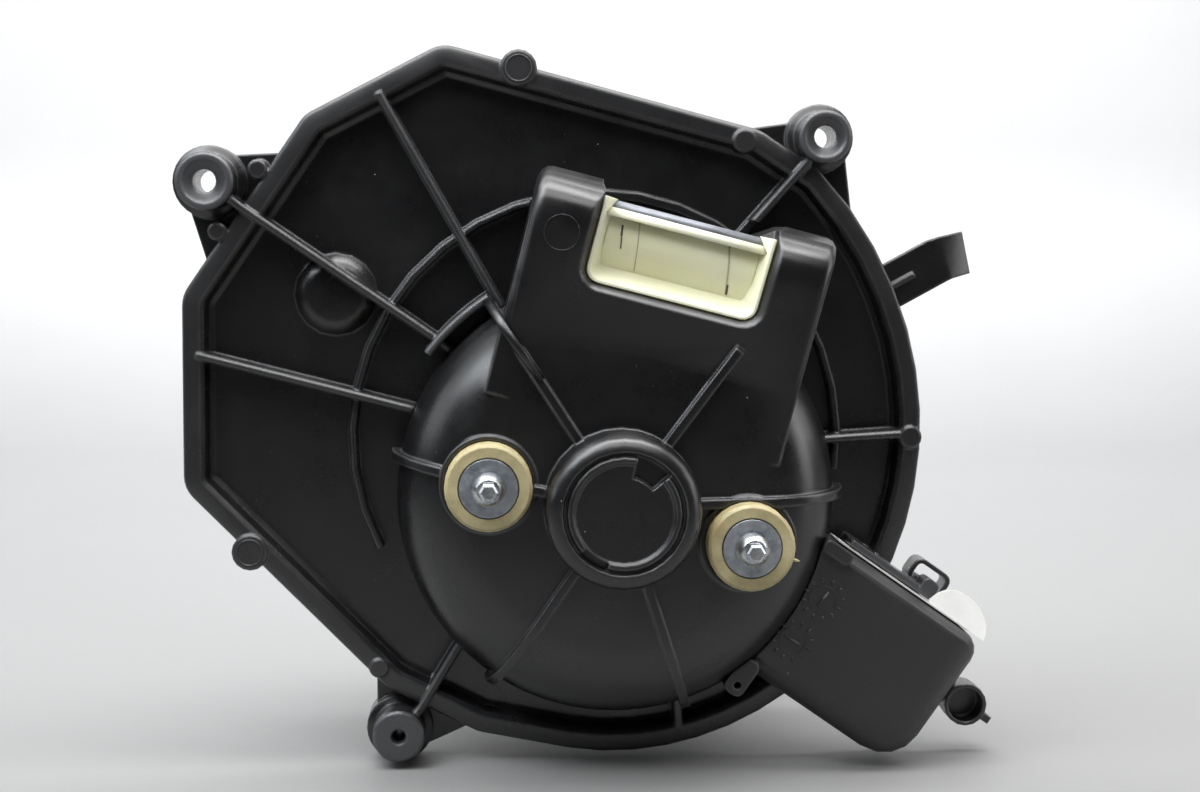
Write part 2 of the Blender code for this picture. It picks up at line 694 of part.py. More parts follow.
def cover_tab():
    """The tab at the right of the rim: its end bends back, and a short ridge stiffens its root."""
    root = polar(TAB_DIRECTION, cover_edge(TAB_DIRECTION) - 0.4 * RIM_W)
    x, z = root
    front = TAB_FRONT
    rings = []
    # Each station: length since the last one, share of the bend and share of the set-back
    for length, bend, back in ((0.0, 0.0, 0.0), (TAB_L, 0.0, 0.0), (0.3 * TAB_TIP_L, 0.6, 0.15),
                               (0.7 * TAB_TIP_L, 1.0, 0.85)):
        turn = TAB_HEADING + (TAB_TIP_HEADING - TAB_HEADING) * bend
        dx, dz = polar(turn, 1.0)
        x += dx * length
        z += dz * length
        front += TAB_TIP_BACK * back
        half = 0.5 * TAB_W * (1 - 0.06 * bend)
        rings.append([(x - dz * side, y, z + dx * side) for side, y in
                      ((-half, front), (half, front), (half, front + TAB_T), (-half, front + TAB_T))])
    tab = solid("tab", rings)
    dx, dz = polar(TAB_HEADING, 1.0)
    near, far = 0.3 * RIM_W, 0.3 * RIM_W + TAB_RIDGE_L
    path = [(root[0] + dx * reach, root[1] + dz * reach) for reach in (near, far)]
    small = ridge("tab_ridge", path, 0.6 * TAB_T, TAB_FRONT - 0.5 * TAB_T, TAB_FRONT + 0.5 * TAB_T)
    path = [(root[0] + dx * reach, root[1] + dz * reach) for reach in (0.0, 0.9 * TAB_L)]
    behind = ridge("tab_back", path, TAB_T, TAB_FRONT + 0.4 * TAB_T, TAB_FRONT + 2.2 * TAB_T)
    return [tab, small, behind]


def cover_shelf():
    """The shelf that carries the connector housing, its side rail with a clip, and the open cup."""
    low = -BOX_LOW + 2 * PLASTIC_WALL
    rail_low = BOX_HIGH + RAIL_GAP
    rail_high = rail_low + RAIL_T
    shelf_end = BOX_END - SHELF_SHORT
    rail_end = BOX_END - RAIL_SHORT
    corners = [(HOLDER_R, low, 0.0), (shelf_end, low, 4 * MM), (shelf_end, BOX_HIGH - 0.5 * MM, 4 * MM),
               (rail_end + MM, BOX_HIGH - 0.5 * MM, 0.0), (rail_end + MM, rail_high - 0.3 * MM, 0.0),
               (HOLDER_R, rail_high - 0.3 * MM, 0.0)]
    outline = rounded([(*turned_point(BOX_TURN, a, b), radius) for a, b, radius in corners])
    shelf = prism("shelf", outline, 0.15 * MM, FLOOR_BACK - 0.15 * MM)
    rail = prism("rail", rectangle(HOLDER_R + 2 * MM, rail_end, rail_low, rail_high, 0.0, BOX_TURN),
                 -RAIL_H, FLOOR_BACK - 0.4 * MM)
    nub = prism("nub", rectangle(rail_end - 4.4 * MM, rail_end + 0.5 * MM, rail_low + 0.4 * MM,
                                 rail_high + 3.4 * MM, 1.4 * MM, BOX_TURN),
                -RAIL_H - 0.3 * MM, -0.5 * RAIL_H)
    loop_outline = (rail_end - 7.6 * MM, rail_end + 4.9 * MM, rail_high - 0.7 * MM, rail_high + 7.0 * MM)
    loop = prism("loop", rectangle(*loop_outline, 2.6 * MM, BOX_TURN), -0.45 * RAIL_H, FLOOR_BACK - 0.6 * MM)
    left, right, bottom, top = loop_outline
    hole = prism("hole", rectangle(left + CLIP_WALL, right - CLIP_WALL, bottom + CLIP_WALL, top - CLIP_WALL,
                                   1.4 * MM, BOX_TURN), -RAIL_H, FLOOR_BACK + MM)
    cut(loop, hole)
    barb = prism("barb", rectangle(left + 2 * MM, left + 6.5 * MM, bottom + 0.3 * MM, bottom + 3 * MM,
                                   0.8 * MM, BOX_TURN), -0.5 * RAIL_H, -0.2 * RAIL_H)
    cup_a = shelf_end + CUP_OUT
    place = turned_point(BOX_TURN, cup_a, CUP_ACROSS)
    cup = rod("cup", CUP_R, FLOOR_BACK - CUP_H, FLOOR_BACK, place, SMALL)
    neck = turned_point(BOX_TURN, shelf_end - CUP_R, CUP_ACROSS)
    bridge = prism("bridge", capsule(neck, place, 0.7 * CUP_R), 0.3 * MM, FLOOR_BACK - 0.3 * MM)
    cup_tab = prism("cup_tab", rectangle(cup_a, cup_a + CUP_R + 2.6 * MM, CUP_ACROSS - 1.1 * MM,
                                         CUP_ACROSS + 1.1 * MM, 0.0, BOX_TURN),
                    FLOOR_BACK - CUP_H + 0.4 * MM, FLOOR_BACK - 0.5 * MM)
    cup_bore = rod("cup_bore", CUP_R - CUP_T, FLOOR_BACK - CUP_H - MM, 0.1 * MM, place, SMALL)
    return [shelf, rail, nub, loop, barb, cup, bridge, cup_tab], cup_bore


def box_space():
    """The flat seat that the connector housing takes out of the rim."""
    outline = box_outline(-CLEAR, -BOX_LOW, BOX_HIGH + RAIL_GAP + 0.25 * RAIL_T - CLEAR)
    return prism("box_space", outline, -BOX_FRONT, BOX_SEAT)


def scroll_cover(surface):
    shelf_parts, cup_bore = cover_shelf()
    added = cover_ribs() + [cover_bump(), cover_collar()] + shelf_parts
    details = join(added[0], *added[1:])
    cut(details, holder_envelope())
    cover = cover_tray()
    cut(cover, box_space())
    join(cover, *cover_pads(), *cover_lugs(), *cover_tab(), details)
    opening_r = FAN_R - BLADE_DEPTH - OPENING_INSET
    opening = rod("opening", opening_r, -0.5 * RIM_H, FLOOR_BACK + MM, steps=FINE)
    cut(cover, opening, cup_bore, *lug_bores())
    return finish(cover, "scroll_cover", surface)


# Motor holder

def holder_profile(grow=0.0, steps=7):
    """Outer profile of the holder as (radius, y), from its base to the middle of its flat front."""
    radius = HOLDER_ROUND + grow
    centre_r = HOLDER_R - HOLDER_ROUND
    centre_y = HOLDER_FACE + HOLDER_ROUND
    points = [(HOLDER_R + grow, HOLDER_BASE)]
    for i in range(steps + 1):
        turn = 0.5 * math.pi * i / steps
        points.append((centre_r + radius * math.cos(turn), centre_y - radius * math.sin(turn)))
    return points


def holder_hub_profile():
    shoulder = HUB_FACE + HUB_ROUND
    points = [(HUB_R, HOLDER_FACE + MM)]
    for i in range(5):
        turn = 0.5 * math.pi * i / 4
        points.append((HUB_R - HUB_ROUND * (1 - math.cos(turn)), shoulder - HUB_ROUND * math.sin(turn)))
    return points


def snout_side(grow=0.0):
    """The snout's outline as (v, y): a front that rises outwards and a rounded outer edge."""
    front = -SNOUT_FRONT - grow
    top = SNOUT_TOP + grow
    inner = HOLDER_FACE - grow + 0.2 * MM
    back = -SNOUT_BACK + grow
    corners = [(HUB_R, back), (HUB_R, inner), (HOLDER_R - HOLDER_ROUND, inner), (top, front), (top, back)]
    radii = [0.0, 0.0, 0.0, SNOUT_ROUND + grow, 0.0]
    return rounded([(v, y, radius) for (v, y), radius in zip(corners, radii)], 5)


def bevel_ends(obj, turn, low, high, width):
    """Rounds the edges of both ends of a body that lies across a turned frame."""
    bm = bmesh.new()
    bm.from_mesh(obj.data)
    edges = []
    for edge in bm.edges:
        across = [v.co.x * math.cos(turn) + v.co.z * math.sin(turn) for v in edge.verts]
        if any(v.co.z * math.cos(turn) - v.co.x * math.sin(turn) < HUB_R + 1e-6 for v in edge.verts):
            continue
        at_end = all(abs(u - low) < 1e-6 for u in across) or all(abs(u - high) < 1e-6 for u in across)
        if at_end and any(v.co.y < -SNOUT_BACK - MM for v in edge.verts):
            edges.append(edge)
    bmesh.ops.bevel(bm, geom=edges, offset=width, segments=3, profile=0.5, affect="EDGES",
                    clamp_overlap=True)
    bm.to_mesh(obj.data)
    bm.free()


def snout_body():
    body = across_plate("snout", SNOUT_TURN, snout_side(), -SNOUT_LEFT, SNOUT_RIGHT)
    bevel_ends(body, SNOUT_TURN, -SNOUT_LEFT, SNOUT_RIGHT, SNOUT_SIDE_ROUND)
    return body


def holder_envelope(gap=CLEAR):
    """The space that the holder fills, with a gap round it."""
    profile = [(HOLDER_R + gap, 0.15 * MM)] + holder_profile(gap)[1:]
    shell = turned("envelope", profile, steps=FINE)
    snout = across_plate("snout_envelope", SNOUT_TURN, snout_side(gap), -SNOUT_LEFT - gap, SNOUT_RIGHT + gap)
    return join(shell, snout)


def snout_face(v):
    """Height of the snout's sloping face at a distance outwards."""
    return HOLDER_FACE + 0.2 * MM - SNOUT_SLOPE * (v - (HOLDER_R - HOLDER_ROUND))


def sloped_ring(outline, behind):
    """A ring of points (u, v) at a depth behind the snout's sloping face."""
    ring = []
    for u, v in outline:
        x, z = turned_point(SNOUT_TURN, u, v)
        ring.append((x, snout_face(v) + behind, z))
    return ring


def saddle_cutter():
    """The dip between the two ears of the snout, steep at the left and sloping at the right."""
    top = SNOUT_TOP + SADDLE_DEPTH
    dip = SNOUT_TOP - SADDLE_DEPTH
    right = POCKET_RIGHT + PLASTIC_WALL
    points = [(-POCKET_LEFT - 1.5 * MM, top), (-POCKET_LEFT - MM, SNOUT_TOP - MM), (-POCKET_LEFT + MM, dip),
              (right - SADDLE_SLOPE, dip), (right, SNOUT_TOP), (right, top)]
    return prism("saddle", [turned_point(SNOUT_TURN, u, v) for u, v in points], -DEEP, DEEP)


def bar_front(v):
    """Front of the bar below the saddle: it slopes back outwards."""
    low = SNOUT_TOP - SADDLE_DEPTH - BAR_T
    return snout_face(low) + BAR_DEPTH + (v - low)


def pocket_cutters():
    """The pocket with its mouth, open above the saddle, and the rounded lip round its front."""
    top = SNOUT_TOP + SADDLE_DEPTH
    shelf = SNOUT_TOP - SADDLE_DEPTH - BAR_T
    outline = [(POCKET_FLOOR, -DEEP), (top, -DEEP), (top, bar_front(top)),
               (shelf, bar_front(shelf)), (shelf, -POCKET_BACK), (POCKET_FLOOR, -POCKET_BACK)]
    pocket = across_plate("pocket", SNOUT_TURN, outline, -POCKET_LEFT, POCKET_RIGHT)
    round_block(pocket, POCKET_FLOOR, POCKET_CORNER)
    rings = []
    for grow, behind in ((1.2 * POCKET_LIP, -MM), (0.5 * POCKET_LIP, 0.25 * POCKET_LIP),
                         (0.12 * POCKET_LIP, 0.75 * POCKET_LIP), (-0.4 * POCKET_LIP, 1.6 * POCKET_LIP)):
        outline = rectangle(-POCKET_LEFT - grow, POCKET_RIGHT + grow, POCKET_FLOOR - grow, top,
                            POCKET_CORNER + grow)
        rings.append(sloped_ring(outline, behind))
    return [pocket, solid("lip", rings)]


def round_block(block, floor, radius):
    """Rounds the two lower corners of a block that lies across the snout's frame."""
    bm = bmesh.new()
    bm.from_mesh(block.data)
    edges = []
    for edge in bm.edges:
        outwards = [v.co.z * math.cos(SNOUT_TURN) - v.co.x * math.sin(SNOUT_TURN) for v in edge.verts]
        along = abs(edge.verts[0].co.y - edge.verts[1].co.y) > MM
        if along and all(abs(v - floor) < 1e-6 for v in outwards):
            edges.append(edge)
    bmesh.ops.bevel(bm, geom=edges, offset=radius, segments=4, profile=0.5, affect="EDGES")
    bm.to_mesh(block.data)
    bm.free()


def holder_inside():
    """The hollow of the holder and of its snout, with walls left round the pocket."""
    inner = [(r, y) for r, y in holder_profile(-PLASTIC_WALL)]
    inner[0] = (inner[0][0], HOLDER_BASE + MM)
    hollow = turned("hollow", inner, steps=FINE)
    hub_hollow = rod("hub_hollow", HUB_R - PLASTIC_WALL, HUB_FACE + HUB_CAP_T,
                     HOLDER_INNER + MM, steps=ROUND)
    wall = PLASTIC_WALL
    top = SNOUT_TOP - SADDLE_DEPTH - BAR_T
    outline = [(HUB_R, -SNOUT_BACK - wall), (HUB_R, HOLDER_INNER + 0.3 * MM),
               (top, snout_face(top) + 1.6 * wall), (top, -SNOUT_BACK - wall)]
    duct = across_plate("duct", SNOUT_TURN, outline, -SNOUT_LEFT + wall, SNOUT_RIGHT - wall)
    keep = prism("keep", rectangle(-POCKET_LEFT - wall, POCKET_RIGHT + wall, POCKET_FLOOR - wall,
                                   SNOUT_TOP, 3 * MM, SNOUT_TURN), -DEEP, -POCKET_BACK + wall)
    cut(duct, keep)
    return join(hollow, hub_hollow, duct)


def rib_outline(over_shoulder):
    """Outline (radius, y) of a rib on the holder, sunk into its wall."""
    sink = 0.5 * PLASTIC_WALL
    if not over_shoulder:
        return [(HUB_R - MM, HOLDER_FACE + sink), (HUB_R - MM, HOLDER_FACE - HOLDER_RIB_H),
                (SHORT_RIB_END - MM, HOLDER_FACE - HOLDER_RIB_H - MM), (SHORT_RIB_END, HOLDER_FACE - 2 * MM),
                (SHORT_RIB_END, HOLDER_FACE + sink - 2 * MM)]
    outer = holder_profile(HOLDER_RIB_H)[1:]
    inner = holder_profile(-sink)[1:]
    foot = -COVER_RIB_H - 2 * MM
    outer = [(HOLDER_R + 0.4 * HOLDER_RIB_H, foot + MM), (HOLDER_R + HOLDER_RIB_H, foot - MM)] + outer
    inner = [(HOLDER_R - sink, foot + MM)] + inner
    hub = [(HUB_R - MM, HOLDER_FACE - HOLDER_RIB_H), (HUB_R - MM, HOLDER_FACE + sink)]
    return outer + hub + inner[::-1]


def holder_ribs():
    return [radial_plate("rib", degrees, rib_outline(over), HOLDER_RIB_W) for degrees, over in HOLDER_RIBS]


def bush_place(side):
    return polar(BUSH_ANGLES[side], BUSH_CIRCLE)


def hub_recesses():
    """The groove round the cap, its sunk middle, the notch in its lip and the slot opposite."""
    front = HUB_FACE - MM
    bottom = HUB_FACE + HUB_GROOVE
    groove = turned_ring("groove", [(HUB_CAP_R + HUB_GROOVE, front), (HUB_CAP_R + 0.3 * HUB_GROOVE, bottom),
                                    (HUB_CAP_R, bottom), (HUB_CAP_R - HUB_GROOVE, front)])
    inner = HUB_CAP_R - HUB_LIP_W
    middle = turned("middle", [(inner + 1.4 * MM, front), (inner, HUB_FACE + 0.9 * MM)])
    made = [groove, middle]
    # Each recess: first and last direction in degrees, inner radius and depth
    slot_r = HUB_CAP_R - 0.8 * HUB_LIP_W
    for first, last, inner, depth in ((40, 77, HUB_NOTCH_R, 0.6 * HUB_CAP_T),
                                      (221, 252, slot_r, 0.5 * HUB_CAP_T)):
        steps = 5
        angles = [first + (last - first) * i / steps for i in range(steps + 1)]
        outline = [polar(angle, HUB_CAP_R + 0.25 * MM) for angle in angles]
        outline += [polar(angle, inner) for angle in reversed(angles)]
        made.append(prism("recess", outline, front, HUB_FACE + depth))
    return made


def motor_holder(surface):
    body = turned("holder", holder_profile(), steps=FINE)
    hub = turned("hub", holder_hub_profile(), steps=ROUND)
    seats = [rod("seat", BUSH_R + BUSH_SEAT_W, HOLDER_FACE - 1.2 * MM, HOLDER_FACE + 0.7 * MM,
                 bush_place(side), 36) for side in BUSH_ANGLES]
    pillar_cuts = []
    for side in BUSH_ANGLES:
        place = bush_place(side)
        front = -DEEP
        pillar_cuts.append(turned("seat_cut", [
            (BUSH_R + CLEAR, front), (BUSH_R + CLEAR, BUSH_SEAT), (BUSH_NECK_R + CLEAR, BUSH_SEAT),
            (BUSH_NECK_R + CLEAR, BUSH_INNER_SEAT), (BUSH_BACK_R + CLEAR, BUSH_INNER_SEAT),
            (BUSH_BACK_R + CLEAR, BUSH_INNER_SEAT + 3 * BUSH_BACK_H)], place, ROUND))
    join(body, snout_body(), hub, *holder_ribs(), *seats)
    cut(body, holder_inside(), saddle_cutter(), *pocket_cutters(), *pillar_cuts, *hub_recesses())
    return finish(body, "motor_holder", surface)


def liner_outline(side, floor, radius):
    """The liner's opening in (u, v), inset at its sides and floor and open at its top."""
    return rectangle(-POCKET_LEFT + side, POCKET_RIGHT - side, POCKET_FLOOR + floor,
                     SNOUT_TOP + SADDLE_DEPTH, radius)


def duct_liner(surface):
    """The cream liner: two slanted sides and a slanted floor round a bulged back wall."""
    front = 0.75 * POCKET_LIP
    back = -POCKET_BACK - CLEAR
    low = POCKET_FLOOR + CLEAR
    shelf = SNOUT_TOP - SADDLE_DEPTH - BAR_T - CLEAR
    top = shelf + LINER_OVER
    outline = [(low, snout_face(low) + front), (top, snout_face(top) + front),
               (top, bar_front(top) - 2 * CLEAR), (shelf, bar_front(shelf) - 2 * CLEAR),
               (shelf, back), (low, back)]
    frame = across_plate("frame", SNOUT_TURN, outline, -POCKET_LEFT + CLEAR, POCKET_RIGHT - CLEAR)
    round_block(frame, low, POCKET_CORNER - CLEAR)
    rings = []
    wall = LINER_WALL
    for side, floor, behind in ((wall, wall, front - 2 * MM), (wall, wall, front + 0.4 * MM),
                                (LINER_SIDE, LINER_RAMP, LINER_DEPTH),
                                (LINER_SIDE, LINER_RAMP, LINER_DEPTH + MM)):
        rings.append(sloped_ring(liner_outline(side, floor, max(POCKET_CORNER - side, MM)), behind))
    cut(frame, solid("funnel", rings))
    base = POCKET_FLOOR + LINER_RAMP - MM
    end = shelf - 0.1 * MM
    outline = [(base, back - MM)]
    steps = 8
    for i in range(steps + 1):
        v = base + (end - base) * i / steps
        rise = LINER_BULGE * math.sin(0.1 + 2.4 * i / steps)
        outline.append((v, snout_face(v) + LINER_DEPTH + 0.7 * MM - rise))
    outline.append((end, back - MM))
    bulge = across_plate("bulge", SNOUT_TURN, outline, -POCKET_LEFT + LINER_SIDE - MM,
                         POCKET_RIGHT - LINER_SIDE + MM)
    join(frame, bulge)
    return finish(frame, "duct_liner", surface)


# Bushes and screws

def mount_hardware(side, rubber, steel, zinc):
    place = bush_place(side)
    bore = SCREW_R + CLEAR + SLEEVE_T + CLEAR
    recess = BUSH_FACE + BUSH_RECESS
    neck_front = BUSH_SEAT - CLEAR
    neck_back = BUSH_INNER_SEAT + CLEAR
    grommet = turned_ring("bush", [
        (bore, recess), (WASHER_R + 0.4 * MM, recess), (WASHER_R + 0.4 * MM, BUSH_FACE),
        (BUSH_R - 0.8 * MM, BUSH_FACE), (BUSH_R, BUSH_FACE + 0.8 * MM), (BUSH_R, neck_front),
        (BUSH_NECK_R, neck_front), (BUSH_NECK_R, neck_back), (BUSH_BACK_R, neck_back),
        (BUSH_BACK_R, BUSH_BACK), (bore, BUSH_BACK)], place)
    finish(grommet, f"mount_bush_{side}", rubber)
    sleeve = tube("sleeve", bore - CLEAR, SCREW_R + CLEAR, recess, BUSH_BACK, place, SMALL)
    finish(sleeve, f"bush_sleeve_{side}", steel)
    washer_back = recess - CLEAR
    washer_front = washer_back - WASHER_T
    washer = tube("washer", WASHER_R, SCREW_R + CLEAR, washer_front, washer_back, place)
    finish(washer, f"washer_{side}", zinc)
    finish(mount_screw(place, washer_front - CLEAR), f"mount_screw_{side}", zinc)


def mount_screw(place, seat):
    """A screw with a domed collar and a six-sided tip."""
    shoulder = seat - SCREW_HEAD_H
    shank_end = PLATE_BACK + SCREW_PAST
    profile = [(SCREW_R - 0.4 * MM, shank_end), (SCREW_R, shank_end - 0.6 * MM), (SCREW_R, seat),
               (SCREW_HEAD_R, seat), (SCREW_HEAD_R, seat - 0.3 * SCREW_HEAD_H),
               (0.5 * (SCREW_HEAD_R + SCREW_TIP_R) + 0.5 * MM, seat - 0.75 * SCREW_HEAD_H),
               (SCREW_TIP_R + 0.4 * MM, shoulder)]
    body = turned("screw", profile, place, SMALL)
    tip = turned("tip", [(SCREW_TIP_R, shoulder + MM), (SCREW_TIP_R, shoulder - SCREW_TIP_H + 0.6 * MM),
                         (SCREW_TIP_R - 0.7 * MM, shoulder - SCREW_TIP_H)], place, 6)
    return join(body, tip)


# Motor

def motor_end_plate(surface):
    """Front plate of the motor: bearing seat in the middle and an ear behind each bush."""
    plate = rod("plate", CAN_R, PLATE_FRONT, PLATE_BACK, steps=FINE)
    seat_r = BEARING_R + CLEAR + BEARING_SEAT_T
    boss = rod("boss", seat_r, PLATE_FRONT - BEARING_L, PLATE_BACK)
    ears = [prism("ear", capsule((0, 0), bush_place(side), EAR_R), PLATE_FRONT, PLATE_BACK)
            for side in BUSH_ANGLES]
    join(plate, boss, *ears)
    seat = rod("seat", BEARING_R + CLEAR, PLATE_FRONT - BEARING_L + BEARING_SEAT_T, PLATE_BACK + MM)
    holes = [rod("hole", SCREW_R + CLEAR, PLATE_FRONT - MM, PLATE_BACK + MM, bush_place(side), SMALL)
             for side in BUSH_ANGLES]
    cut(plate, seat, *holes)
    return finish(plate, "motor_end_plate", surface)


def motor_can(surface):
    """A drawn steel can with a bearing seat in its closed end, relieved beside the mount screws."""
    inner = CAN_R - CAN_T
    bottom = CAN_BACK - CAN_T
    seat = BEARING_R + CLEAR
    bend = CAN_BEND
    can = turned_ring("can", [
        (inner, CAN_FRONT), (CAN_R, CAN_FRONT), (CAN_R, CAN_BACK - bend),
        (CAN_R - 0.3 * bend, CAN_BACK - 0.3 * bend), (CAN_R - bend, CAN_BACK),
        (seat + BEARING_SEAT_T, CAN_BACK), (seat + BEARING_SEAT_T, BEARING_NOSE),
        (SHAFT_R + 2 * CLEAR, BEARING_NOSE), (SHAFT_R + 2 * CLEAR, BEARING_NOSE - CAN_T),
        (seat, BEARING_NOSE - CAN_T), (seat, bottom), (inner - 0.7 * bend, bottom), (inner, bottom - bend)],
        steps=48)
    return finish(can, "motor_can", surface)


def bearings(surface):
    bore = SHAFT_R + CLEAR
    front = PLATE_FRONT - BEARING_L + BEARING_SEAT_T + CLEAR
    length = BEARING_L - CAN_T
    for name, start in (("front_bearing", front), ("rear_bearing", BEARING_NOSE - CAN_T - CLEAR - length)):
        bush = turned_ring(name, [(bore, start), (BEARING_R - MM, start), (BEARING_R, start + MM),
                                  (BEARING_R, start + length - MM), (BEARING_R - MM, start + length),
                                  (bore, start + length)])
        finish(bush, name, surface)


def magnets(surface):
    for number, middle in enumerate((90.0, 270.0), 1):
        steps = 14
        turns = [middle - MAGNET_SPAN / 2 + MAGNET_SPAN * i / steps for i in range(steps + 1)]
        outline = [polar(t, MAGNET_R) for t in turns]
        outline += [polar(t, MAGNET_R - MAGNET_T) for t in reversed(turns)]
        finish(prism("magnet", outline, MAGNET_FRONT, MAGNET_BACK), f"magnet_{number}", surface)


def core_outline():
    """One lamination: teeth with wider tips round a yoke."""
    points = []
    pitch = 360.0 / CORE_SLOTS
    tip_half = 0.5 * pitch - 0.5 * math.degrees(SLOT_MOUTH / CORE_R)
    for i in range(CORE_SLOTS):
        middle = pitch * i
        neck_r = CORE_R - TOOTH_TIP
        side = [(CORE_YOKE_R, math.degrees(0.5 * TOOTH_W / CORE_YOKE_R)),
                (neck_r, math.degrees(0.5 * TOOTH_W / neck_r)),
                (CORE_R - 0.4 * TOOTH_TIP, tip_half), (CORE_R, tip_half)]
        points += [polar(middle - half, radius) for radius, half in side]
        points.append(polar(middle, CORE_R))
        points += [polar(middle + half, radius) for radius, half in reversed(side)]
    return points


def armature(core_surface, copper, commutator_surface):
    bore = SHAFT_R + CLEAR
    core = prism("core", core_outline(), CORE_FRONT, CORE_BACK)
    cut(core, rod("bore", bore, CORE_FRONT - MM, CORE_BACK + MM, steps=SMALL))
    finish(core, "armature_core", core_surface)
    finish(armature_winding(), "armature_winding", copper)
    bars = []
    pitch = 360.0 / COMMUTATOR_BARS
    for i in range(COMMUTATOR_BARS):
        middle = pitch * i
        bars += [polar(middle - 0.42 * pitch, COMMUTATOR_R), polar(middle, COMMUTATOR_R),
                 polar(middle + 0.42 * pitch, COMMUTATOR_R),
                 polar(middle + 0.5 * pitch, 0.92 * COMMUTATOR_R)]
    ring = prism("commutator", bars, COMMUTATOR_FRONT, COMMUTATOR_BACK)
    cut(ring, rod("bore", bore, COMMUTATOR_FRONT - MM, COMMUTATOR_BACK + MM, steps=SMALL))
    finish(ring, "commutator", commutator_surface)


def armature_winding():
    """Copper in the slots, joined by the end turns at both ends of the core."""
    pitch = 360.0 / CORE_SLOTS
    inner = CORE_YOKE_R + CLEAR
    outer = CORE_R - TOOTH_TIP - CLEAR
    front = CORE_FRONT - CLEAR
    back = CORE_BACK + CLEAR
    ends = []
    for near, far in ((front - 1.2 * MM, COIL_FRONT), (back + 1.2 * MM, CORE_BACK + COIL_OVERHANG)):
        start = front if near < CORE_FRONT else back
        ends.append(turned_ring("end_turns", [(inner - 2 * MM, start), (outer, start), (outer, near),
                                              (outer - 2 * MM, far), (inner, far), (inner - 2 * MM, near)]))
    bars = []
    for i in range(CORE_SLOTS):
        middle = pitch * (i + 0.5)
        low = 0.5 * pitch - math.degrees((0.5 * TOOTH_W + 2 * CLEAR) / inner)
        high = 0.5 * pitch - math.degrees((0.5 * TOOTH_W + 2 * CLEAR) / outer)
        low = max(low, 0.08 * pitch)
        outline = [polar(middle - low, inner), polar(middle - high, outer - CLEAR),
                   polar(middle + high, outer - CLEAR), polar(middle + low, inner)]
        bars.append(prism("bar", outline, front - 0.4 * MM, back + 0.4 * MM))
    return join(ends[0], ends[1], *bars)


def brush_gear(card_surface, carbon, steel):
    """A card with two brush boxes; each spring presses its brush on the commutator."""
    card_front = BRUSH_MID - 0.5 * BRUSH_H - BRUSH_BOX_T - CARD_T - CLEAR
    card_back = card_front + CARD_T
    card_r = CAN_R - CAN_T - CLEAR
    card = tube("card", card_r, COMMUTATOR_R + 4 * MM, card_front, card_back, steps=48)
    brush_start = COMMUTATOR_R + CLEAR
    box_start = COMMUTATOR_R + 2.5 * MM
    half_w = 0.5 * BRUSH_W + CLEAR
    half_h = 0.5 * BRUSH_H + CLEAR
    boxes = []
    hollows = []
    for sign in (-1, 1):
        ends = sorted((sign * box_start, sign * (card_r - 1.5 * MM)))
        outline = [(ends[0], -half_w - BRUSH_BOX_T), (ends[1], -half_w - BRUSH_BOX_T),
                   (ends[1], half_w + BRUSH_BOX_T), (ends[0], half_w + BRUSH_BOX_T)]
        boxes.append(prism("box", outline, card_front + 0.5 * CARD_T, BRUSH_MID + half_h + BRUSH_BOX_T))
        ends = sorted((sign * (box_start - MM), sign * (card_r - 1.5 * MM - BRUSH_BOX_T)))
        outline = [(ends[0], -half_w), (ends[1], -half_w), (ends[1], half_w), (ends[0], half_w)]
        hollows.append(prism("hollow", outline, BRUSH_MID - half_h, BRUSH_MID + half_h))
    join(card, *boxes)
    cut(card, *hollows)
    finish(card, "brush_card", card_surface)
    for number, sign in enumerate((-1, 1), 1):
        ends = sorted((sign * brush_start, sign * (brush_start + BRUSH_L)))
        half = 0.5 * BRUSH_W
        outline = [(ends[0], -half), (ends[1], -half), (ends[1], half), (ends[0], half)]
        block = prism("brush", outline, BRUSH_MID - 0.5 * BRUSH_H, BRUSH_MID + 0.5 * BRUSH_H)
        finish(block, f"brush_{number}", carbon)
        start = brush_start + BRUSH_L + CLEAR
        end = card_r - 1.5 * MM - BRUSH_BOX_T - CLEAR
        finish(spring(sign, start, end), f"brush_spring_{number}", steel)


def spring(sign, start, end):
    """A coil spring along X, in front of its brush."""
    steps = 8 * SPRING_TURNS
    half_wire = 0.5 * SPRING_WIRE
    rings = []
    for i in range(steps + 1):
        turn = 2 * math.pi * SPRING_TURNS * i / steps
        along = start + half_wire + (end - start - SPRING_WIRE) * i / steps
        radial = (math.cos(turn), math.sin(turn))
        ring = []
        for k in range(4):
            around = 2 * math.pi * k / 4
            reach = SPRING_R + half_wire * math.cos(around)
            ring.append((sign * (along + half_wire * math.sin(around)), BRUSH_MID + reach * radial[0],
                         reach * radial[1]))
        rings.append(ring)
    return solid("spring", rings)


def shaft(surface):
    nose = PLATE_FRONT - BEARING_L + BEARING_SEAT_T + 2 * CLEAR
    edge = 0.15 * SHAFT_R
    body = turned("shaft", [(SHAFT_R - edge, nose), (SHAFT_R, nose + edge), (SHAFT_R, SHAFT_BACK - edge),
                            (SHAFT_R - edge, SHAFT_BACK)])
    return finish(body, "motor_shaft", surface)


# Fan wheel

def bell(base_r, top_y, base_y, steps=7):
    """The curve of the wheel's bell as (radius, y), from the hub out to the blade ring."""
    points = []
    power = 2.8
    for i in range(steps + 1):
        turn = 0.5 * math.pi * i / steps
        share = math.sin(turn) ** (2 / power)
        height = math.cos(turn) ** (2 / power)
        points.append((base_r * share, base_y + (top_y - base_y) * height))
    return points


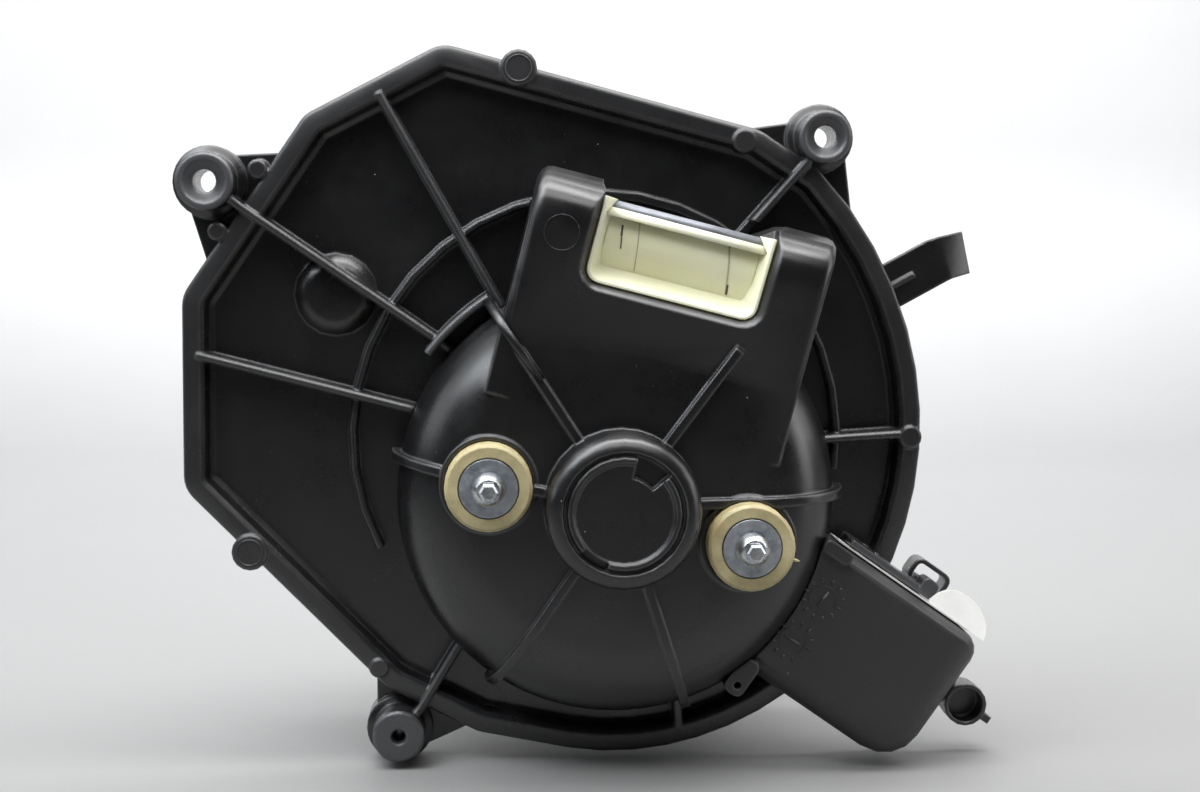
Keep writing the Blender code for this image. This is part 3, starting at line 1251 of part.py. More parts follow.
def blade_outline(degrees):
    """One forward-curved blade, seen along the axis."""
    inner = FAN_R - BLADE_DEPTH
    outer = FAN_R - 0.6 * MM
    steps = 3
    line = []
    for i in range(steps + 1):
        share = i / steps
        radius = inner + (outer - inner) * share
        turn = math.radians(degrees) + BLADE_SWEEP * share ** 1.8
        line.append((radius * math.cos(turn), radius * math.sin(turn)))
    left = []
    right = []
    for i, (x, z) in enumerate(line):
        before = line[max(i - 1, 0)]
        after = line[min(i + 1, steps)]
        dx, dz = unit(after[0] - before[0], after[1] - before[1])
        half = 0.5 * BLADE_T * (1 - 0.35 * abs(2 * i / steps - 1))
        left.append((x - dz * half, z + dx * half))
        right.append((x + dz * half, z - dx * half))
    return right + left[::-1]


def fan_wheel(surface):
    """Forward-curved blades between a base ring and an intake ring, carried by a bell and a hub."""
    bore = SHAFT_R + CLEAR
    inner = FAN_R - BLADE_DEPTH
    base = inner + MM
    bell_top = FAN_HUB_FRONT + FAN_SHELL_T
    outside = bell(base, bell_top, FAN_FRONT)
    inside = bell(base - FAN_SHELL_T, FAN_HUB_FRONT, FAN_FRONT)
    outside = [(r, y) for r, y in outside if r > FAN_HUB_R and y > FAN_FRONT + FAN_RING_T]
    inside = [(r, y) for r, y in inside if r > FAN_HUB_R]
    hub_start = [(bore, FAN_HUB_FRONT), (FAN_HUB_R, FAN_HUB_FRONT)]
    hub_end = [(FAN_HUB_R, bell_top), (FAN_HUB_R - MM, FAN_HUB_BACK), (bore, FAN_HUB_BACK)]
    ring = [(FAN_R - 0.3 * MM, FAN_FRONT), (FAN_R - 0.3 * MM, FAN_FRONT + FAN_RING_T)]
    foot = [(base - 0.2 * MM, FAN_FRONT + FAN_RING_T)]
    profile = hub_start + inside + ring + foot + outside[::-1] + hub_end
    wheel = turned_ring("wheel", profile, steps=FINE)
    rim_front = FAN_BACK - FAN_RIM_H
    rim = turned_ring("rim", [(FAN_R - FAN_RIM_W, rim_front + 0.4 * FAN_RIM_H),
                              (FAN_R - 0.5 * FAN_RIM_W, rim_front), (FAN_R, rim_front), (FAN_R, FAN_BACK),
                              (FAN_R - FAN_RIM_W, FAN_BACK)], steps=FINE)
    blades = []
    for i in range(FAN_BLADES):
        outline = blade_outline(360.0 * i / FAN_BLADES)
        blades.append(prism("blade", outline, FAN_FRONT + 0.5 * FAN_RING_T, FAN_BACK - 0.3 * FAN_RIM_H))
    blade_ring = merged("blades", blades)
    join(wheel, rim, blade_ring)
    return finish(wheel, "fan_wheel", surface)


def merged(name, objects):
    """Separate bodies in one mesh, to be joined to another solid in one step."""
    bm = bmesh.new()
    for obj in objects:
        bm.from_mesh(obj.data)
        bpy.data.objects.remove(obj, do_unlink=True)
    mesh = bpy.data.meshes.new(name)
    bm.to_mesh(mesh)
    bm.free()
    obj = bpy.data.objects.new(name, mesh)
    bpy.context.scene.collection.objects.link(obj)
    return obj


def fan_clip(surface):
    bore = SHAFT_R + CLEAR
    clip = turned_ring("clip", [(bore, CLIP_FRONT), (CLIP_R, CLIP_FRONT), (CLIP_R, CLIP_BACK - 0.3 * CLIP_T),
                                (CLIP_R - 0.8 * CLIP_T, CLIP_BACK), (bore, CLIP_BACK + 0.5 * CLIP_T)],
                       steps=SMALL)
    return finish(clip, "fan_clip", surface)


# Connector housing

def box_outline(inset, low, high):
    """The housing's outline between two sides, inset at its end and sides; its start lies in the holder."""
    corners = [(BOX_START, low + inset, 0.0), (BOX_END - inset, low + inset, BOX_CORNER_LOW),
               (BOX_END - inset, high - inset, BOX_CORNER_HIGH), (BOX_START, high - inset, 0.0)]
    points = []
    for a, b, radius in corners:
        points.append((*turned_point(BOX_TURN, a, b), max(radius - inset, MM) if radius else 0.0))
    return rounded(points)


def box_rings(wall, low, high, back):
    """Rings of the housing at a distance inside its faces, from its back to its rounded front."""
    radius = BOX_ROUND - wall
    rings = [[(x, back, z) for x, z in box_outline(wall, low, high)]]
    steps = 4
    for i in range(steps + 1):
        turn = 0.5 * math.pi * i / steps
        inset = radius * (1 - math.cos(turn))
        y = -BOX_FRONT + wall + radius * (1 - math.sin(turn))
        outline = box_outline(wall + inset, low, high + (1 - BOX_HIGH_SHARE) * inset)
        rings.append([(x, y, z) for x, z in outline])
    return rings


def box_hooks():
    """The two hooks that hold the housing on the holder's shoulder."""
    start = HOLDER_R - HOOK_INSET
    front = -BOX_FRONT - HOOK_RISE
    outline = rectangle(start, start + 1.2 * HOOK_W, BOX_HIGH - 0.5 * HOOK_W, BOX_HIGH - 0.2 * MM,
                        0.16 * HOOK_W, BOX_TURN)
    upper = prism("upper_hook", outline, front, -0.5 * BOX_FRONT)
    outline = rectangle(start, start + 0.8 * HOOK_W, -BOX_LOW - HOOK_W, -BOX_LOW + 0.5 * HOOK_W,
                        0.3 * HOOK_W, BOX_TURN)
    lower = prism("lower_hook", outline, front + 0.8 * HOOK_RISE, -0.4 * BOX_FRONT)
    middle = turned_point(BOX_TURN, start + 0.45 * HOOK_W, -BOX_LOW - 0.6 * HOOK_W)
    eye = prism("eye", circle(middle, 0.15 * HOOK_W, 8), front, -0.7 * BOX_FRONT)
    return upper, cut(lower, eye)


def connector_housing(surface):
    """A deep cover over the plug: pillowed front edges, an open back and a socket in its lower side."""
    back = BOX_SEAT - CLEAR
    box = solid("box", box_rings(0.0, -BOX_LOW, BOX_HIGH, back))
    wall = PLASTIC_WALL
    hollow = solid("hollow", box_rings(wall, -BOX_LOW + SOCKET_DEPTH, BOX_HIGH, back + MM))
    cut(hollow, holder_envelope(CLEAR + wall))
    join(box, *box_hooks())
    socket = socket_body("socket", -BOX_LOW - MM, -BOX_LOW + SOCKET_DEPTH, 0.0)
    cut(box, holder_envelope(), hollow, socket)
    return finish(box, "connector_housing", surface)


def socket_middle():
    """Where the socket lies: its distance outwards and its height."""
    return BOX_END - BOX_CORNER_LOW - 0.5 * SOCKET_W - 2 * MM, -0.5 * (BOX_FRONT - BOX_ROUND)


def socket_body(name, low, high, shrink):
    """A block in the connector housing, centred on the socket."""
    middle, mid_y = socket_middle()
    half_w = 0.5 * SOCKET_W - shrink
    half_h = 0.5 * SOCKET_H - shrink
    return prism(name, rectangle(middle - half_w, middle + half_w, low, high, 0.0, BOX_TURN),
                 mid_y - half_h, mid_y + half_h)


def plug_pieces(plastic, brass):
    """The terminal block at the bottom of the socket, with two blades."""
    middle, mid_y = socket_middle()
    floor = -BOX_LOW + SOCKET_DEPTH
    block = socket_body("block", floor - BLOCK_T, floor - CLEAR, CLEAR)
    half_w = 0.5 * TERMINAL_W
    half_t = 0.5 * TERMINAL_T
    slots = []
    for number, side in enumerate((-1, 1), 1):
        centre = middle + side * 0.5 * TERMINAL_PITCH
        slots.append(prism("slot", rectangle(centre - half_w - CLEAR, centre + half_w + CLEAR,
                                             floor - BLOCK_T - MM, floor + MM, 0.0, BOX_TURN),
                           mid_y - half_t - CLEAR, mid_y + half_t + CLEAR))
        blade = prism("blade", rectangle(centre - half_w, centre + half_w, floor - 2 * CLEAR - TERMINAL_L,
                                         floor - 2 * CLEAR, 0.0, BOX_TURN), mid_y - half_t, mid_y + half_t)
        finish(blade, f"terminal_{number}", brass)
    cut(block, *slots)
    finish(block, "terminal_block", plastic)


def blank_label(surface):
    """A bare label along the housing's upper side; its free end stands up and leans back."""
    low = BOX_HIGH + CLEAR
    end = BOX_END - BOX_CORNER_HIGH
    front = -BOX_FRONT + 0.7 * BOX_ROUND
    strip = prism("label", rectangle(HOLDER_R - LABEL_START, end, low, low + LABEL_T, 0.0, BOX_TURN),
                  front, front + LABEL_W)
    rings = []
    steps = 12
    for shift in (0.0, LABEL_T):
        ring = []
        for i in range(steps + 1):
            turn = math.pi * i / steps
            a = end - 0.4 * LABEL_FLAP_R + LABEL_FLAP_R * math.cos(turn)
            b = low + 0.5 * LABEL_T + LABEL_FLAP_H * math.sin(turn)
            x, z = turned_point(BOX_TURN, a, b)
            ring.append((x, front + 0.2 * MM + LABEL_LEAN * (b - low) + shift, z))
        rings.append(ring)
    join(strip, solid("flap", rings))
    return finish(strip, "blank_label", surface)


# The whole part

def move_to_frame():
    """Moves the pieces so that the origin lies on the face of the upper left lug, above its bore."""
    lug = LUGS["upper_left"]
    x, z = lug_place(lug)
    above = 0.5 * (lug.mouth + lug.outer - LUG_EDGE)
    for obj in bpy.data.objects:
        obj.data.transform(Matrix.Translation((-x, -LUG_FACE, -z - above)))


def build():
    clear_scene()
    black = material("black_moulding", (0.018, 0.018, 0.020), 0.42)
    matte = material("matte_moulding", (0.024, 0.024, 0.026), 0.60)
    cream = material("cream_liner", (0.80, 0.75, 0.55), 0.45)
    tan = material("tan_rubber", (0.72, 0.60, 0.38), 0.60)
    zinc = material("zinc_plate", (0.62, 0.66, 0.70), 0.32, 1.0)
    steel = material("steel", (0.50, 0.50, 0.52), 0.35, 1.0)
    copper = material("copper", (0.72, 0.36, 0.18), 0.35, 1.0)
    ferrite = material("ferrite", (0.05, 0.05, 0.055), 0.6)
    carbon = material("carbon", (0.03, 0.03, 0.03), 0.7)
    bronze = material("bronze", (0.55, 0.40, 0.20), 0.45, 1.0)
    paper = material("label_paper", (0.86, 0.86, 0.84), 0.6)
    scroll_cover(black)
    motor_holder(black)
    duct_liner(cream)
    for side in BUSH_ANGLES:
        mount_hardware(side, tan, steel, zinc)
    connector_housing(matte)
    plug_pieces(matte, bronze)
    blank_label(paper)
    motor_end_plate(steel)
    motor_can(zinc)
    bearings(bronze)
    magnets(ferrite)
    armature(steel, copper, copper)
    brush_gear(matte, carbon, steel)
    shaft(steel)
    fan_wheel(black)
    fan_clip(steel)
    move_to_frame()


build()
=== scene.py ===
"""Looks of the car cabin blower motor: finishes, small surface details, light and camera."""

import math

import bmesh
import bpy
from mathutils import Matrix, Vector


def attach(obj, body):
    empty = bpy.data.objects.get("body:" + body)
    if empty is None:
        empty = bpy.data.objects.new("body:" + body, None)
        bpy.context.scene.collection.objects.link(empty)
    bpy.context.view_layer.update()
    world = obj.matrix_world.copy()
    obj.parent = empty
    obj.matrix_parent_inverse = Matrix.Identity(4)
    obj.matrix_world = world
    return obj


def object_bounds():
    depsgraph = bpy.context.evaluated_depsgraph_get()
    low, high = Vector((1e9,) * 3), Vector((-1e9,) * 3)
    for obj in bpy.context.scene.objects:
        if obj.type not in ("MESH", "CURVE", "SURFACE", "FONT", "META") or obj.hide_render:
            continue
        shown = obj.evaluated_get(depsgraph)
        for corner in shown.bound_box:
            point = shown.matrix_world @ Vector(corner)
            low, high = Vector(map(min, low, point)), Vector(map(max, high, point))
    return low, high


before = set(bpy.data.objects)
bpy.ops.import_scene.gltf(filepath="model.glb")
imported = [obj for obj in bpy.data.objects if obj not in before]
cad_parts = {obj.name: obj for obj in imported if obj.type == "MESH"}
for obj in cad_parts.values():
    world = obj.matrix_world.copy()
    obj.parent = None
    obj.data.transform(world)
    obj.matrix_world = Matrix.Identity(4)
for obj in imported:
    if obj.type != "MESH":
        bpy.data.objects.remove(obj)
CAD_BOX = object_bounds()

MM = 0.001

# Where the motor axis meets the front of the cover's floor
AXIS = Vector((115.4395, 14.0, -96.0718)) * MM

# Camera, placed at the photograph's viewing angle
CAMERA_PLACE = AXIS + Vector((-35.6, -553.2, 76.9)) * MM
CAMERA_TILT = math.radians(84.86)
CAMERA_TURN = math.radians(-3.3)
CAMERA_LENS = 57.0
CAMERA_SENSOR = 36.0
CAMERA_NEAREST = 0.01

# Stage, in metres: a floor that bends up into a wall, with depths from AXIS
STAGE_W = 5.0
STAGE_NEAR = -2.5
WALL_Y = 0.95
WALL_BEND = 0.22
WALL_BEND_STEPS = 10
WALL_H = 3.0
FLOOR_GAP = 0.2 * MM
# the floor's paint is darker in front and paler further back: a painted shade on the floor in
# front
FLOOR_NEAR_TONE = (0.098, 0.095, 0.089)
FLOOR_FAR_TONE = (0.40, 0.405, 0.41)
FLOOR_TONE_SPAN = (-0.25, 0.75)      # along the frame's Y, from the near tone to the far one
WALL_TONE = (0.76, 0.765, 0.77)
WALL_TONE_SPAN = (-0.20, -0.03)      # along the frame's Z, from the floor's tone to the wall's
SOILED_TONE = (0.30, 0.29, 0.28)
SOILED_SHARE = 0.06

# Lights, in metres from AXIS and watts: name, place, target, width, height, power, tint
SKY_TINT = (0.93, 0.96, 1.0)
SKY_STRENGTH = 0.03
WHITE = (1.0, 1.0, 1.0)
MIDDLE = (0.0, 0.0, 0.02)
LIGHTS = (
    ("front_ceiling", (-0.05, -0.45, 0.58), (0.0, 0.0, 0.0), 0.8, 0.24, 2.7, WHITE),
    ("overhead", (0.04, -0.10, 0.50), (0.04, -0.08, 0.0), 0.6, 0.2, 3.9, WHITE),
    ("left_window", (-0.75, -0.05, 0.39), MIDDLE, 0.45, 0.5, 1.1, SKY_TINT),
    ("right_low", (0.85, -0.20, 0.12), MIDDLE, 0.25, 0.45, 0.9, WHITE),
    ("left_ceiling", (-0.36, -0.22, 0.45), MIDDLE, 0.3, 0.3, 2.1, (0.90, 0.95, 1.0)),
    ("right_window", (0.80, 0.0, 0.45), MIDDLE, 0.45, 0.7, 2.0, WHITE),
    ("wall_glow", (0.0, 0.35, 1.0), (0.0, 1.0, 0.25), 1.8, 0.4, 19.0, WHITE),
)

# Smooth shading and rounded edges
SMOOTH_ANGLE = math.radians(32)      # edges sharper than this stay sharp
PLASTIC_ROUND = 1.2 * MM             # how far a finish rounds an edge
SOFT_ROUND = 0.45 * MM
METAL_ROUND = 0.25 * MM
ROUND_SAMPLES = 6
EDGE_FADE = (0.985, 0.80)            # rounded normal times real normal, on a flat and at an edge

# Black plastics: dark and light tone, roughness, and the spacing and depth of the grain
MOULDED_BLACK = ((0.0035, 0.0035, 0.004), (0.0070, 0.0070, 0.0077), 0.29, 0.5 * MM, 0.05 * MM)
MATTE_BLACK = ((0.012, 0.0115, 0.0115), (0.018, 0.0175, 0.0178), 0.50, 0.32 * MM, 0.09 * MM)

# What lies on black plastic, and the sheen and highlights painted on it. Grains have a spacing, a
# size and a share of the cells they fill.
# upward faces paler: settled dust, and partly a painted sheen of light from above
DUST_AND_TOP_SHEEN = (0.10, 0.10, 0.10)
DUST_AND_TOP_SHEEN_SHARE = 0.35
DUST_GRAIN = (0.42, 0.42, 0.41)
COARSE_GRAINS = (6.5 * MM, 0.16 * MM, 0.30)
FINE_GRAINS = (2.3 * MM, 0.07 * MM, 0.16)
# edges painted paler: partly wear, partly a painted highlight on rib crests and rounded edges
WORN_EDGE_AND_HIGHLIGHT = (0.17, 0.17, 0.18)
WORN_EDGE_AND_HIGHLIGHT_SHARE = 0.6
RIM_SHEEN = (0.020, 0.020, 0.021)     # the cover's rim and lugs are painted paler towards the front, a painted sheen
RIM_SHEEN_SPAN = (-5.5 * MM, -8.5 * MM)
LUG_SHEEN = (0.050, 0.051, 0.055)
LUG_SHEEN_SPAN = (-12.2 * MM, -13.4 * MM)

# Cream plastic, tan rubber and copper wire
CREAM_TONES = ((0.86, 0.85, 0.58), (0.93, 0.92, 0.70))
CREAM_STAIN = (0.22, 0.19, 0.12)
CREAM_GLOW = (1.0, 0.9, 0.6)         # how far red, green and blue light go into it
RUBBER_TONES = ((0.34, 0.285, 0.145), (0.56, 0.490, 0.285))
RUBBER_STAIN = (0.50, 0.36, 0.16)
RUBBER_CHALK = (0.74, 0.68, 0.42)
RUBBER_GLOW = (1.0, 0.75, 0.4)
WIRE_TONES = ((0.50, 0.20, 0.08), (0.72, 0.34, 0.15))

# Metals: bright and dull tone, roughness, and if not as usual the grain's scale and depth
METALS = {
    "zinc_plating": ((0.58, 0.61, 0.65), (0.30, 0.33, 0.38), 0.40),
    "bright_zinc": ((0.66, 0.68, 0.70), (0.38, 0.40, 0.43), 0.28, 420.0, 0.12 * MM),
    "bare_steel": ((0.58, 0.58, 0.60), (0.36, 0.36, 0.38), 0.34),
    "bearing_bronze": ((0.56, 0.40, 0.20), (0.36, 0.25, 0.12), 0.42),
    "commutator_copper": ((0.80, 0.42, 0.22), (0.52, 0.25, 0.12), 0.30),
}

# Plain solids with little shine: dark and light tone, roughness and grain
DULL_SOLIDS = {
    "ferrite": ((0.035, 0.035, 0.038), (0.06, 0.06, 0.065), 0.6),
    "carbon": ((0.02, 0.02, 0.02), (0.035, 0.035, 0.036), 0.55),
    "label_paper": ((0.66, 0.66, 0.64), (0.74, 0.74, 0.72), 0.5, 500.0),
    # a pale bluish grey for the bar's upper edge: a painted highlight
    "painted_sheen": ((0.17, 0.18, 0.20), (0.25, 0.26, 0.29), 0.34),
    "liner_shade": ((0.42, 0.40, 0.25), (0.52, 0.50, 0.32), 0.5),
    "liner_scuff": ((0.05, 0.045, 0.035), (0.10, 0.09, 0.07), 0.5),
}

# The nodes of the frame that have each finish
NODES_BY_FINISH = {
    "black_plastic": ("fan_wheel",),
    "cover_plastic": ("scroll_cover",),
    "holder_plastic": ("motor_holder",),
    "matte_plastic": ("connector_housing", "terminal_block", "brush_card"),
    "cream_plastic": ("duct_liner",),
    "tan_rubber": ("mount_bush_left", "mount_bush_right"),
    "zinc_plating": ("washer_left", "washer_right", "motor_can"),
    "bright_zinc": ("mount_screw_left", "mount_screw_right"),
    "bare_steel": ("bush_sleeve_left", "bush_sleeve_right", "motor_end_plate", "motor_shaft",
                   "fan_clip", "armature_core", "brush_spring_1", "brush_spring_2"),
    "bearing_bronze": ("front_bearing", "rear_bearing", "terminal_1", "terminal_2"),
    "commutator_copper": ("commutator",),
    "wound_copper": ("armature_winding",),
    "ferrite": ("magnet_1", "magnet_2"),
    "carbon": ("brush_1", "brush_2"),
    "label_paper": ("blank_label",),
}

# The snout's frame, turned about the motor axis: u across it, v outwards
SNOUT_TURN = math.radians(-14.5)
SNOUT_SLOPE = 0.16                   # rise of its front for each distance outwards
CROWN_SPAN = (68.0 * MM, 85.4 * MM)  # where its front leans back, from the motor axis
CROWN_POWER = 1.6
CROWN_LEAN = 0.9

# Small details, in mm from AXIS. A ring is a centre, a radius and the radius of its wire.
RING_STEPS = 40
RING_SIDES = 6
EJECTOR_MARK = ((-16.3, -40.35, 75.0), 4.8, 0.10)
EJECTOR_STEPS = 48
PAD_RINGS = (((-27.3, -8.8, 121.3), 3.7, 0.22), ((-105.1, -8.8, -16.8), 3.7, 0.22))

BAR_SINK = 0.1                       # how deep a raised bar stands in its face
BAR_TOP = 0.6                        # width of its top, as a share of its foot

# Setting dials: centre, radius and the pointer's heading
DIALS = (((58.3, -25.0, -29.0), 6.3, 0.9), ((49.7, -25.0, -40.7), 6.1, 2.6))
DIAL_CIRCLE = 0.62                   # shares of the radius: the circle,
DIAL_TICK_FROM = 0.76                # the inner end of a tick
DIAL_POINTER = 0.42                  # and half of the pointer
DIAL_TICKS = 12
DIAL_WIRE = 0.14
TICK_SIZE = (0.55, 0.22)             # width and height
POINTER_SIZE = (0.75, 0.24)

# Leftovers of moulding: centre, direction and reach. A section is (share of the reach, width).
BUSH_NUB = ((47.6, -42.4, -14.6), (0.97, 0.0, -0.26), 1.2)
SEAM_NUB = ((50.2, -25.5, 33.6), (0.8, -0.4, 0.4), 1.3)
NUB_SECTIONS = ((-0.6, 1.0), (0.0, 0.9), (0.6, 0.55), (1.0, 0.22))
NUB_ANGLES = (0.3, 1.4, 2.6, 3.6, 4.7, 5.7)
NUB_FLATNESS = 1.4

# Strips across the snout: their ends along u, and the corners (v, y) of their section
LINER_LIP_SPAN = (-25.0, 22.0)
LINER_LIP = ((76.3, -36.6), (76.5, -37.9), (78.7, -36.05), (78.7, -35.45))
SADDLE_SPAN = (-24.4, 19.6)
SADDLE_EDGE = ((78.65, -35.6), (78.75, -35.95), (80.0, -34.9), (80.75, -33.9), (80.75, -33.5))

# The liner's bulged back wall: its ends along v, its depth at the lower end, and its bulge
LINER_LOW = 61.8
LINER_HIGH = 76.6
LINER_BACK = -30.1
LINER_BULGE = 3.4
BULGE_START = 0.1                    # the bulge follows a sine from this angle, over this one
BULGE_TURN = 2.4

# Lines on that wall: start and end as (u, v), and width
LINER_LINES = (((-12.4, 63.2), (-14.4, 76.6), 0.30), ((13.6, 63.4), (11.0, 76.6), 0.45))
LINER_SCUFFS = (((-17.7, 68.2), (-18.3, 71.5), 0.35), ((-18.4, 71.6), (-18.8, 74.6), 0.55),
                ((13.9, 63.2), (13.4, 66.0), 0.60))
LINE_STEPS = 8
LINE_SINK = 0.3
LINE_HEIGHT = 0.12

# The upper left rib's end: (x, top, base, z) along it, and half of its width at three heights
UPPER_RIB = ((-22.0, -38.8, -35.2, 34.8), (-32.3, -38.7, -20.0, 49.7),
             (-35.0, -32.0, -8.0, 53.7), (-36.8, -23.5, -4.0, 56.4))
RIB_ACROSS = Vector((0.825, 0.0, 0.565))  # direction across it
RIB_FOOT = 1.5
RIB_SHOULDER = 1.2
RIB_TOP = 0.7
RIB_ROUND = 0.6                      # how far its shoulder lies below its top


# Node helpers

class Surface:
    """A material under construction: each method adds nodes and returns their output."""

    def __init__(self, name):
        self.material = bpy.data.materials.new(name)
        self.material.use_nodes = True
        self.tree = self.material.node_tree
        self.shader = self.tree.nodes["Principled BSDF"]
        self.place = self.add("ShaderNodeTexCoord").outputs["Object"]

    def add(self, kind, **settings):
        made = self.tree.nodes.new(kind)
        for name, value in settings.items():
            setattr(made, name, value)
        return made

    def feed(self, socket, value):
        if isinstance(value, bpy.types.NodeSocket):
            self.tree.links.new(value, socket)
        elif isinstance(value, tuple) and len(value) == 3 and socket.type == "RGBA":
            socket.default_value = (*value, 1.0)
        else:
            socket.default_value = value

    def stretched(self, scale):
        made = self.add("ShaderNodeMapping")
        self.feed(made.inputs["Vector"], self.place)
        self.feed(made.inputs["Scale"], scale)
        return made.outputs["Vector"]

    def noise(self, scale, detail=3.0, roughness=0.5, stretch=None):
        made = self.add("ShaderNodeTexNoise")
        self.feed(made.inputs["Vector"], self.stretched(stretch) if stretch else self.place)
        self.feed(made.inputs["Scale"], scale)
        self.feed(made.inputs["Detail"], detail)
        self.feed(made.inputs["Roughness"], roughness)
        return made.outputs["Fac"]

    def maths(self, operation, first, second):
        made = self.add("ShaderNodeMath", operation=operation)
        self.feed(made.inputs[0], first)
        self.feed(made.inputs[1], second)
        return made.outputs["Value"]

    def times(self, first, second):
        return self.maths("MULTIPLY", first, second)

    def vectors(self, operation, first, second=None, scale=None):
        """A vector operation; a dot product gives its number."""
        made = self.add("ShaderNodeVectorMath", operation=operation)
        self.feed(made.inputs[0], first)
        if second is not None:
            self.feed(made.inputs[1], second)
        if scale is not None:
            self.feed(made.inputs["Scale"], scale)
        return made.outputs["Value" if operation == "DOT_PRODUCT" else "Vector"]

    def parts(self, vector):
        """The outputs X, Y and Z of a vector."""
        made = self.add("ShaderNodeSeparateXYZ")
        self.feed(made.inputs["Vector"], vector)
        return made.outputs

    def remap(self, value, low, high, to_low=0.0, to_high=1.0):
        made = self.add("ShaderNodeMapRange")
        self.feed(made.inputs["Value"], value)
        self.feed(made.inputs["From Min"], low)
        self.feed(made.inputs["From Max"], high)
        self.feed(made.inputs["To Min"], to_low)
        self.feed(made.inputs["To Max"], to_high)
        return made.outputs["Result"]

    def clouds(self, scale, detail=3.0, roughness=0.5, span=(0.3, 0.7), result=(0.0, 1.0)):
        """Noise whose span is spread over the result's range."""
        return self.remap(self.noise(scale, detail, roughness), *span, *result)

    def mix(self, share, first, second):
        made = self.add("ShaderNodeMix", data_type="RGBA")
        self.feed(made.inputs["Factor"], share)
        self.feed(made.inputs["A"], first)
        self.feed(made.inputs["B"], second)
        return made.outputs["Result"]

    def specks(self, spacing, size, share):
        """Sparse round dust grains: one for some of the cells."""
        made = self.add("ShaderNodeTexVoronoi")
        self.feed(made.inputs["Vector"], self.place)
        self.feed(made.inputs["Scale"], 1.0 / spacing)
        near = self.maths("LESS_THAN", made.outputs["Distance"], size / spacing)
        split = self.add("ShaderNodeSeparateColor")
        self.feed(split.inputs["Color"], made.outputs["Color"])
        chosen = self.maths("LESS_THAN", split.outputs["Red"], share)
        return self.times(near, chosen)

    def upward(self, low, high):
        """How far the surface looks up, in the piece's own frame."""
        normal = self.add("ShaderNodeTexCoord").outputs["Normal"]
        return self.remap(self.parts(normal)["Z"], low, high)

    def rounded_edges(self, radius):
        made = self.add("ShaderNodeBevel", samples=ROUND_SAMPLES)
        self.feed(made.inputs["Radius"], radius)
        return made.outputs["Normal"]

    def edge_share(self, soft_normal):
        """Near 1 at a sharp edge and 0 on a flat."""
        sharp_normal = self.add("ShaderNodeNewGeometry").outputs["Normal"]
        return self.remap(self.vectors("DOT_PRODUCT", soft_normal, sharp_normal), *EDGE_FADE)

    def bump(self, height, strength, distance, normal=None):
        made = self.add("ShaderNodeBump")
        self.feed(made.inputs["Height"], height)
        self.feed(made.inputs["Strength"], strength)
        self.feed(made.inputs["Distance"], distance)
        if normal is not None:
            self.feed(made.inputs["Normal"], normal)
        return made.outputs["Normal"]

    def crowned(self, normal):
        """Leans the shading of the snout's front back towards its outer end."""
        outwards = (-math.sin(SNOUT_TURN), 0.0, math.cos(SNOUT_TURN))
        from_axis = AXIS.dot(Vector(outwards))
        start, end = CROWN_SPAN
        reach = self.vectors("DOT_PRODUCT", self.place, outwards)
        share = self.remap(reach, from_axis + start, from_axis + end)
        lean = self.times(self.maths("POWER", share, CROWN_POWER), CROWN_LEAN)
        leaning = self.vectors("ADD", normal, self.vectors("SCALE", outwards, scale=lean))
        return self.vectors("NORMALIZE", leaning)

    def finish(self, colour, roughness, normal=None, **constants):
        self.feed(self.shader.inputs["Base Color"], colour)
        self.feed(self.shader.inputs["Roughness"], roughness)
        if normal is not None:
            self.feed(self.shader.inputs["Normal"], normal)
        for name, value in constants.items():
            self.feed(self.shader.inputs[name.replace("_", " ")], value)
        return self.material


# Finishes

def painted_front_sheen(surface, colour):
    """Paints the rim and the lugs paler towards the front: a painted sheen."""
    depth = surface.parts(surface.place)["Y"]
    rim_start, rim_end = RIM_SHEEN_SPAN
    rim = surface.remap(depth, AXIS.y + rim_start, AXIS.y + rim_end)
    rim = surface.times(rim, surface.clouds(40.0, 4.0, span=(0.25, 0.6), result=(0.45, 1.0)))
    colour = surface.mix(rim, colour, RIM_SHEEN)
    lug_start, lug_end = LUG_SHEEN_SPAN
    lugs = surface.remap(depth, AXIS.y + lug_start, AXIS.y + lug_end)
    return surface.mix(lugs, colour, LUG_SHEEN)


def black_plastic(name, dark, light, roughness, grain, depth, crown=False, front_sheen=False):
    """Moulded glass-filled plastic: a faint grain, flow clouds, pale dust with a painted sheen on
    upward faces, and edges paler from wear and a painted highlight.
    """
    surface = Surface(name)
    soft = surface.rounded_edges(PLASTIC_ROUND)
    colour = surface.mix(surface.clouds(24.0, 4.0, 0.6), dark, light)
    # upward faces: settled dust, and partly a painted sheen of light from above
    dust_and_sheen = surface.times(surface.upward(0.55, 1.0), surface.clouds(90.0, span=(0.35, 0.75)))
    colour = surface.mix(surface.times(dust_and_sheen, DUST_AND_TOP_SHEEN_SHARE), colour, DUST_AND_TOP_SHEEN)
    # the cover's rim and lugs get a painted sheen
    if front_sheen:
        colour = painted_front_sheen(surface, colour)
    # edges paler: partly wear, partly a painted highlight on rib crests
    edges = surface.times(surface.edge_share(soft), surface.clouds(160.0, span=(0.2, 0.6)))
    colour = surface.mix(surface.times(edges, WORN_EDGE_AND_HIGHLIGHT_SHARE), colour, WORN_EDGE_AND_HIGHLIGHT)
    dust = surface.maths("MAXIMUM", surface.specks(*COARSE_GRAINS), surface.specks(*FINE_GRAINS))
    colour = surface.mix(dust, colour, DUST_GRAIN)
    shine = surface.clouds(55.0, 5.0, 0.65, result=(roughness - 0.05, roughness + 0.07))
    waves = surface.bump(surface.noise(130.0, 2.0), 0.10, 0.25 * MM, soft)
    normal = surface.bump(surface.noise(1.0 / grain, 4.0, 0.6), 0.45, depth, waves)
    if crown:
        normal = surface.crowned(normal)
    return surface.finish(colour, shine, normal, Specular_IOR_Level=0.75)


